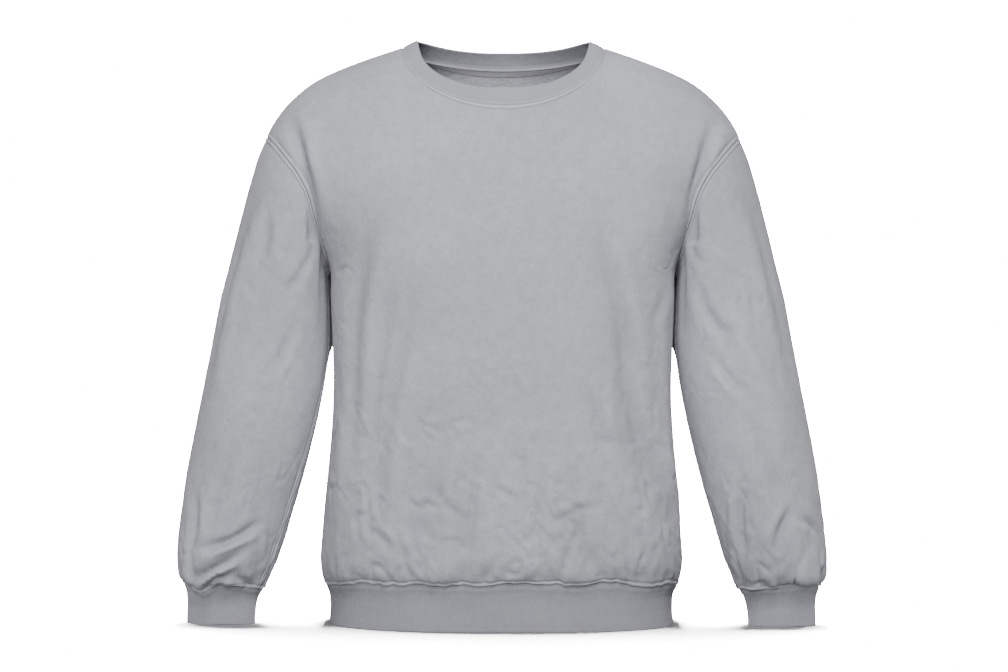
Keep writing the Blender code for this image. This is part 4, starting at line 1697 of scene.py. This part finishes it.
class Nodes:
    """Short way to build a material's node tree."""

    def __init__(self, name: str) -> None:
        """Start an empty node material.

        Args:
            name: The material's name.
        """
        self.material = bpy.data.materials.new(name)
        self.material.use_nodes = True
        self.tree = self.material.node_tree
        self.shader = self.tree.nodes["Principled BSDF"]

    def add(self, kind: str, settings: dict | None = None, **inputs) -> bpy.types.Node:
        """Add a node.

        Args:
            kind: Blender's node type.
            settings: Properties of the node.
            inputs: Sockets by name, underscores for spaces, each a value or another socket.

        Returns:
            The node.
        """
        node = self.tree.nodes.new(kind)
        for key, value in (settings or {}).items():
            setattr(node, key, value)
        for key, value in inputs.items():
            self.set(node.inputs[key.replace("_", " ")], value)
        return node

    def set(self, socket: bpy.types.NodeSocket, value: Feed) -> None:
        """Give a socket a value or a link.

        Args:
            socket: The input.
            value: A value, or the socket to link.
        """
        if isinstance(value, bpy.types.NodeSocket):
            self.tree.links.new(value, socket)
        else:
            socket.default_value = value

    def math(self, operation: str, first: Feed, second: Feed = 0.0) -> bpy.types.NodeSocket:
        """Result of one Math node.

        Args:
            operation: Blender's name for it.
            first: First value or socket.
            second: Second value or socket.

        Returns:
            Output socket of the node.
        """
        node = self.add("ShaderNodeMath", {"operation": operation})
        self.set(node.inputs[0], first)
        self.set(node.inputs[1], second)
        return node.outputs[0]

    def mix(self, factor: Feed, first: Feed, second: Feed) -> bpy.types.NodeSocket:
        """Mixed colour.

        Args:
            factor: Share of the second colour.
            first: First colour.
            second: Second colour.

        Returns:
            Output socket of the node.
        """
        node = self.add("ShaderNodeMix", {"data_type": "RGBA"})
        self.set(node.inputs["Factor"], factor)
        self.set(node.inputs["A"], first)
        self.set(node.inputs["B"], second)
        return node.outputs["Result"]

    def noise(self, vector: Feed, scale: float, detail: float = 3.0) -> bpy.types.NodeSocket:
        """Noise from 0 to 1."""
        return self.add("ShaderNodeTexNoise", Vector=vector, Scale=scale, Detail=detail).outputs["Fac"]

    def spread(self, value: Feed, low: float, high: float, out_low: float,
               out_high: float) -> bpy.types.NodeSocket:
        """A value remapped from one range to another, held at the ends.

        Args:
            value: What to remap.
            low: Start of its range.
            high: End of its range.
            out_low: Start of the new range.
            out_high: End of the new range.

        Returns:
            Output socket of the node.
        """
        node = self.add("ShaderNodeMapRange", Value=value)
        for name, number in zip(("From Min", "From Max", "To Min", "To Max"),
                                (low, high, out_low, out_high)):
            node.inputs[name].default_value = number
        return node.outputs["Result"]

    def shaded(self, level: Feed, shade: tuple[float, float, float]) -> bpy.types.NodeSocket:
        """A shade made lighter or darker by a level.

        Args:
            level: How light, 1 for the shade itself.
            shade: Red, green and blue.

        Returns:
            Output socket of the node.
        """
        colour = self.add("ShaderNodeCombineColor")
        for channel in range(3):
            self.set(colour.inputs[channel], self.math("MULTIPLY", level, shade[channel]))
        return colour.outputs[0]

    def bump(self, height: Feed, strength: float, distance: float,
             under: Feed | None = None) -> bpy.types.NodeSocket:
        """Bumped normal, on top of another where one is given.

        Args:
            height: What raises the surface.
            strength: From 0 to 1.
            distance: Height of the bumps in metres.
            under: Normal that it adds to.

        Returns:
            Output socket of the node.
        """
        node = self.add("ShaderNodeBump", Height=height, Strength=strength, Distance=distance)
        if under is not None:
            self.set(node.inputs["Normal"], under)
        return node.outputs["Normal"]


@dataclass(frozen=True)
class KnitFinish:
    """Garment-dyed cotton knit: stitches in rows, uneven dye, pale rubbed ridges, with painted shade in
    stitch valleys, seam grooves, rib grooves and fold troughs and painted light on fold ridges and cuffs.
    """

    name: str
    shade: tuple[float, float, float]
    wale: float = 0.00115
    course: float = 0.00085
    stitch_depth: float = 0.00022
    fuzz: float = 0.35
    mottle: float = 0.085
    # Strength of the colour from wear and painted light and shade.
    rub: float = 0.19

    def make(self) -> bpy.types.Material:
        """Build the material.

        Returns:
            The finished material.
        """
        kit = Nodes(self.name)
        cloth = kit.add("ShaderNodeUVMap", {"uv_map": "cloth"}).outputs[0]
        spot = kit.add("ShaderNodeTexCoord").outputs["Object"]
        # Read the attribute that holds wear and painted light and shade.
        wear = kit.add("ShaderNodeAttribute", {"attribute_name": "wear"}).outputs["Fac"]
        parts = kit.add("ShaderNodeSeparateXYZ", Vector=cloth)
        across = kit.math("DIVIDE", parts.outputs[0], self.wale)
        within = kit.math("ABSOLUTE", kit.math("SUBTRACT", kit.math("FRACT", across), 0.5))
        rows = kit.math("DIVIDE", parts.outputs[1], self.course)
        slant = kit.math("ADD", rows, kit.math("MULTIPLY", within, 1.3))
        strand = kit.math("SINE", kit.math("MULTIPLY", slant, 2 * math.pi))
        strand = kit.math("ADD", kit.math("MULTIPLY", strand, 0.35), 0.5)
        valley = kit.math("SUBTRACT", 1.0, kit.math("POWER", kit.math("MULTIPLY", within, 2.0), 3.0))
        stitch = kit.math("MULTIPLY", strand, valley)
        lint = kit.noise(spot, 2600.0, 4.0)
        pile = kit.noise(spot, 620.0, 3.0)
        normal = kit.bump(stitch, 0.55, self.stitch_depth)
        normal = kit.bump(lint, self.fuzz, 0.00025, normal)
        normal = kit.bump(pile, self.fuzz, 0.0006, normal)
        normal = kit.bump(kit.noise(spot, 210.0, 4.0), 0.3, 0.0009, normal)
        cloud = kit.spread(kit.noise(spot, 9.0, 4.0), 0.3, 0.7, 1 - self.mottle, 1 + self.mottle)
        patch = kit.spread(kit.noise(spot, 95.0, 4.0), 0.3, 0.7, 1 - 0.7 * self.mottle,
                           1 + 0.7 * self.mottle)
        heather = kit.spread(kit.noise(spot, 260.0, 4.0), 0.3, 0.7, 1 - 0.8 * self.mottle,
                             1 + 0.8 * self.mottle)
        # Colour from wear and painted light and shade: seam ridges paler from wear, seam grooves, rib
        # grooves and fold troughs darker as painted shade, fold ridges and cuffs paler as painted light.
        rubbed = kit.math("ADD", 1.0, kit.math("MULTIPLY", wear, self.rub))
        # Painted shade: darker in the valleys between stitches.
        painted_stitch_shade = kit.spread(stitch, 0.0, 0.8, 0.90, 1.03)
        level = kit.math("MULTIPLY", kit.math("MULTIPLY", cloud, patch), kit.math("MULTIPLY", heather, painted_stitch_shade))
        level = kit.math("MULTIPLY", level, rubbed)
        cast = kit.spread(kit.noise(spot, 5.0, 2.0), 0.35, 0.65, 0.0, 0.16)
        cooler = kit.mix(cast, kit.shaded(level, self.shade),
                         (self.shade[0] * 0.97, self.shade[1], self.shade[2] * 1.06, 1))
        kit.set(kit.shader.inputs["Base Color"], cooler)
        kit.set(kit.shader.inputs["Normal"], normal)
        kit.shader.inputs["Roughness"].default_value = 0.95
        kit.shader.inputs["Specular IOR Level"].default_value = 0.12
        kit.shader.inputs["Sheen Weight"].default_value = 0.22
        kit.shader.inputs["Sheen Roughness"].default_value = 0.55
        return kit.material


@dataclass(frozen=True)
class FleeceFinish:
    """Brushed inside of the cloth: a soft matted pile."""

    name: str
    shade: tuple[float, float, float]

    def make(self) -> bpy.types.Material:
        """Build the material.

        Returns:
            The finished material.
        """
        kit = Nodes(self.name)
        spot = kit.add("ShaderNodeTexCoord").outputs["Object"]
        tuft = kit.noise(spot, 420.0, 5.0)
        clump = kit.noise(spot, 130.0, 3.0)
        normal = kit.bump(clump, 0.8, 0.0016)
        normal = kit.bump(tuft, 0.8, 0.0009, normal)
        level = kit.math("MULTIPLY", kit.spread(tuft, 0.3, 0.7, 0.86, 1.1),
                         kit.spread(clump, 0.3, 0.7, 0.93, 1.05))
        kit.set(kit.shader.inputs["Base Color"], kit.shaded(level, self.shade))
        kit.set(kit.shader.inputs["Normal"], normal)
        kit.shader.inputs["Roughness"].default_value = 1.0
        kit.shader.inputs["Specular IOR Level"].default_value = 0.1
        kit.shader.inputs["Sheen Weight"].default_value = 0.35
        return kit.material


@dataclass(frozen=True)
class ThreadFinish:
    """Spun sewing thread with a faint twist."""

    name: str
    shade: tuple[float, float, float]

    def make(self) -> bpy.types.Material:
        """Build the material.

        Returns:
            The finished material.
        """
        kit = Nodes(self.name)
        spot = kit.add("ShaderNodeTexCoord").outputs["Object"]
        twist = kit.noise(spot, 1900.0, 2.0)
        level = kit.spread(twist, 0.3, 0.7, 0.88, 1.08)
        kit.set(kit.shader.inputs["Base Color"], kit.shaded(level, self.shade))
        kit.set(kit.shader.inputs["Normal"], kit.bump(twist, 0.5, 0.0002))
        kit.shader.inputs["Roughness"].default_value = 0.7
        return kit.material


@dataclass(frozen=True)
class Softbox:
    """A square soft light: where it stands and points, its side, its watts and what it lights."""

    name: str
    place: tuple[float, float, float]
    aim: tuple[float, float, float]
    size: float
    power: float
    lights_stage: bool


SOFTBOXES: tuple[Softbox, ...] = (
    Softbox("key_softbox", (0.32, -1.7, 1.5), (0, 0, -0.15), 0.9, 58.0, False),
    Softbox("fill_softbox", (-0.34, -2.2, 0.32), (0, 0, -0.2), 0.9, 35.0, False),
    Softbox("floor_softbox", (0.0, 1.0, 2.6), (0, 0.1, -0.69), 1.0, 3000.0, True),
    Softbox("wall_softbox", (0.0, 0.5, 2.6), (0, 4.5, 0.2), 2.5, 3900.0, True),
)


@dataclass(frozen=True)
class Studio:
    """Plain pale sweep, soft lights and the camera."""

    camera_back: float = 3.0
    frame_wide: float = 1.2096
    sensor: float = 36.0
    roll: float = -0.21
    camera_across: float = 0.0018
    floor_drop: float = -0.0003
    camera_level: float = -0.3456
    paper_glow: float = 1.5
    paper: float = 0.023
    air: float = 0.10

    def build(self, low: Vector) -> None:
        """Set up the stage under the garment's lowest corner.

        Args:
            low: Lowest corner of the garment's box.
        """
        self.sweep(low[2] - self.floor_drop)
        self.lights()
        self.camera()

    def sweep(self, level: float) -> None:
        """Floor and backdrop in one soft white curve.

        Args:
            level: Height of the floor in metres.
        """
        profile = [(-6.0, level), (3.0, level)]
        profile += [(3.0 + 1.5 * math.sin(a), level + 1.5 - 1.5 * math.cos(a))
                    for a in np.linspace(0.1, QUARTER, 10)]
        profile.append((4.5, level + 6.0))
        shape = bmesh.new()
        rails = [[shape.verts.new((x, y, z)) for y, z in profile] for x in (-7.0, 7.0)]
        for step in range(len(profile) - 1):
            shape.faces.new((rails[0][step], rails[1][step], rails[1][step + 1], rails[0][step + 1]))
        mesh = bpy.data.meshes.new("studio_sweep")
        shape.to_mesh(mesh)
        shape.free()
        mesh.shade_smooth()
        paper = Nodes("white_paper")
        seen = paper.add("ShaderNodeLightPath").outputs["Is Camera Ray"]
        plain = paper.add("ShaderNodeBsdfDiffuse", Color=(*[self.paper] * 3, 1))
        bright = paper.add("ShaderNodeBsdfDiffuse", Color=(*[self.paper_glow] * 3, 1))
        both = paper.add("ShaderNodeMixShader", Fac=seen)
        paper.tree.links.new(plain.outputs[0], both.inputs[1])
        paper.tree.links.new(bright.outputs[0], both.inputs[2])
        paper.tree.links.new(both.outputs[0], paper.tree.nodes["Material Output"].inputs["Surface"])
        mesh.materials.append(paper.material)
        sweep = bpy.data.objects.new("studio_sweep", mesh)
        bpy.context.scene.collection.objects.link(sweep)
        sweep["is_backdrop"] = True

    def lights(self) -> None:
        """Broad overhead and frontal softboxes, and a pale world."""
        world = bpy.data.worlds.new("studio_air")
        world.use_nodes = True
        back = world.node_tree.nodes["Background"]
        back.inputs["Color"].default_value = (1, 1, 1, 1)
        back.inputs["Strength"].default_value = self.air
        bpy.context.scene.world = world
        garment, stage = bpy.data.collections.new("lit_garment"), bpy.data.collections.new("lit_stage")
        for item in bpy.context.scene.objects:
            if item.type == "MESH":
                (stage if item.name == "studio_sweep" else garment).objects.link(item)
        for box in SOFTBOXES:
            lamp = bpy.data.lights.new(box.name, "AREA")
            lamp.shape, lamp.size, lamp.energy = "SQUARE", box.size, box.power
            item = bpy.data.objects.new(box.name, lamp)
            item.location = box.place
            item.rotation_euler = (Vector(box.aim) - Vector(box.place)).to_track_quat("-Z", "Y").to_euler()
            item.light_linking.receiver_collection = stage if box.lights_stage else garment
            item.visible_camera = False
            bpy.context.scene.collection.objects.link(item)

    def camera(self) -> None:
        """Long lens, square on, level with the middle of the garment."""
        lens = bpy.data.cameras.new("camera")
        lens.sensor_width = self.sensor
        lens.lens = self.sensor * self.camera_back / self.frame_wide
        item = bpy.data.objects.new("camera", lens)
        turned = Matrix.Rotation(math.radians(self.roll), 4, "Y") @ Matrix.Rotation(QUARTER, 4, "X")
        place = Matrix.Translation((self.camera_across, -self.camera_back, self.camera_level))
        item.matrix_world = place @ turned
        bpy.context.scene.collection.objects.link(item)
        bpy.context.scene.camera = item


@dataclass
class Sweatshirt:
    """The whole garment, made and sewn up in order."""

    form: Form
    knit: Knit
    stitching: Stitching = field(default_factory=Stitching)

    def finishes(self) -> None:
        """Make the cloths' and thread's materials."""
        jersey = (0.402, 0.409, 0.455)
        rib = (0.354, 0.356, 0.398)
        self.jersey = KnitFinish("dyed_fleece_face", jersey).make()
        self.fleece = FleeceFinish("brushed_fleece_inside", jersey).make()
        self.rib = KnitFinish("dyed_rib", rib, wale=0.0013, course=0.0010, mottle=0.04, rub=0.09).make()
        self.tape = KnitFinish("neck_tape_jersey", (0.42, 0.42, 0.45), mottle=0.03).make()
        self.thread = ThreadFinish("sewing_thread", (0.55, 0.555, 0.60)).make()

    def add(self, name: str, node: str, cloth: Cloth, finishes: Sequence[bpy.types.Material],
            slot: str, flat: tuple[float, float], area: float | None = None) -> bpy.types.Object:
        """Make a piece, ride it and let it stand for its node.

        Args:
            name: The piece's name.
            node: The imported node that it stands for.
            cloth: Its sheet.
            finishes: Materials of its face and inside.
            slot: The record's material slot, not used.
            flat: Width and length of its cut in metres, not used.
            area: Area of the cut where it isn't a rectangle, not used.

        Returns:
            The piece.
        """
        piece = sheet_object(name, cloth, finishes)
        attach(piece, "root")
        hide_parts(node)
        log.info("%s: %d faces", name, len(piece.data.polygons))
        return piece

    def sew(self, name: str, lines: Sequence[tuple[Points, Points, bool]]) -> None:
        """Add rows of stitches as one piece.

        Args:
            name: The piece's name.
            lines: Each row's points, outward ways and whether it is closed.
        """
        piece = self.stitching.piece(name, lines, self.thread)
        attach(piece, "root")
        log.info("%s: %d faces", name, len(piece.data.polygons))

    def build(self) -> None:
        """Make every piece."""
        self.finishes()
        ring = ArmholeRing(self.form)
        cloths = (self.jersey, self.fleece)
        front = BodyPanel(self.form, self.knit, ring, Face.FRONT, FRONT_FOLDS)
        back = BodyPanel(self.form, self.knit, ring, Face.BACK, BACK_FOLDS)
        self.add("front_panel", "front", front.make(), cloths, "jersey", (0.64, 0.66), 0.37)
        self.add("back_panel", "back", back.make(), cloths, "jersey", (0.64, 0.69), 0.38)
        sleeves = {
            Side.LEFT: Sleeve(self.form, self.knit, ring, Side.LEFT, LEFT_SLEEVE_FOLDS, 8.0),
            Side.RIGHT: Sleeve(self.form, self.knit, ring, Side.RIGHT, RIGHT_SLEEVE_FOLDS, 26.0),
        }
        band = RibBand(self.knit)
        hem = HemRib(self.form, band)
        self.add("neck_rib", "collar", Collar(self.form, band).make(), (self.rib, self.rib), "rib",
                 (0.64, 0.0248))
        self.add("neck_tape_strip", "neck_tape", NeckTape(back).make(), (self.tape, self.tape), "tape",
                 (0.23, 0.010))
        self.add("hem_rib_band", "hem_rib", hem.make(), (self.rib, self.rib), "rib", (1.09, 0.051))
        for side, sleeve in sleeves.items():
            word = side.name.lower()
            self.add(f"sleeve_{word}_tube", f"sleeve_{word}", sleeve.make(), cloths, "jersey",
                     (0.50, 0.53), 0.20)
            cuff = Cuff(self.form, band, side)
            self.add(f"cuff_{word}_band", f"cuff_{word}", cuff.make(), (self.rib, self.rib), "rib",
                     (0.208, 0.045))
            self.sew_sleeve(word, sleeve, cuff, front, back)
        self.sew_body(front, back, hem)

    def row(self, stack: Points, outward: Points, closed: bool = False,
            distance: float = STITCH_INSET) -> tuple[Points, Points, bool]:
        """One row of stitches at a distance from a seam.

        Args:
            stack: Grid lines of the cloth, the seam's own line first.
            outward: Ways out of the cloth along the seam.
            closed: Whether the seam runs all round.
            distance: Millimetres from the seam.

        Returns:
            The row's points and ways, and whether it is closed.
        """
        return inset_line(stack[:SEAM_LINES], distance), outward, closed

    def sew_sleeve(self, word: str, sleeve: Sleeve, cuff: Cuff, front: BodyPanel,
                   back: BodyPanel) -> None:
        """Stitch one armhole and one cuff seam.

        Args:
            word: Left or right, in lower case.
            sleeve: The made sleeve.
            cuff: Its made cuff.
            front: The made front.
            back: The made back.
        """
        cloth = sleeve.cloth
        lines = [self.row(cloth.outer, cloth.outward[4], True)]
        for panel in (front, back):
            column = -6 if word == "left" else 5
            outward = panel.cloth.outward[panel.side_rows:, column]
            lines.append(self.row(panel.seam_lines()[f"armhole_{word}"], outward))
        self.sew(f"armhole_{word}_stitches", lines)
        lines = [self.row(cloth.outer[::-1], cloth.outward[-5], True),
                 self.row(cuff.made.outer, cuff.made.outward[1], True)]
        self.sew(f"cuff_{word}_stitches", lines)

    def sew_body(self, front: BodyPanel, back: BodyPanel, hem: HemRib) -> None:
        """Stitch the neck, shoulder and hem seams.

        Args:
            front: The made front.
            back: The made back.
            hem: The made hem rib.
        """
        neck, shoulder, bottom = [], [], []
        for panel in (front, back):
            stacks = panel.seam_lines()
            outward = panel.cloth.outward
            middle = outward.shape[1] // 2
            left, right = middle + panel.neck_columns, middle - panel.neck_columns
            for distance in NECK_STITCH_INSETS:
                neck.append(self.row(stacks["neck"], outward[-6, right:left + 1], distance=distance))
            shoulder.append(self.row(stacks["shoulder_left"], outward[-5, left:]))
            shoulder.append(self.row(stacks["shoulder_right"], outward[-5, :right + 1]))
            bottom.append(self.row(stacks["hem"], outward[5]))
        bottom.append(self.row(hem.made.outer, hem.made.outward[1], True))
        self.sew("neck_stitches", neck)
        self.sew("shoulder_stitches", shoulder)
        self.sew("hem_stitches", bottom)


def main() -> None:
    """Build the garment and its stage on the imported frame."""
    logging.basicConfig(level=logging.INFO, format="%(message)s")
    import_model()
    cad_box = [list(corner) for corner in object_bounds()]
    shirt = Sweatshirt(Form(), Knit())
    shirt.build()
    Studio().build(Vector(cad_box[0]))


if __name__ == "__main__":
    main()
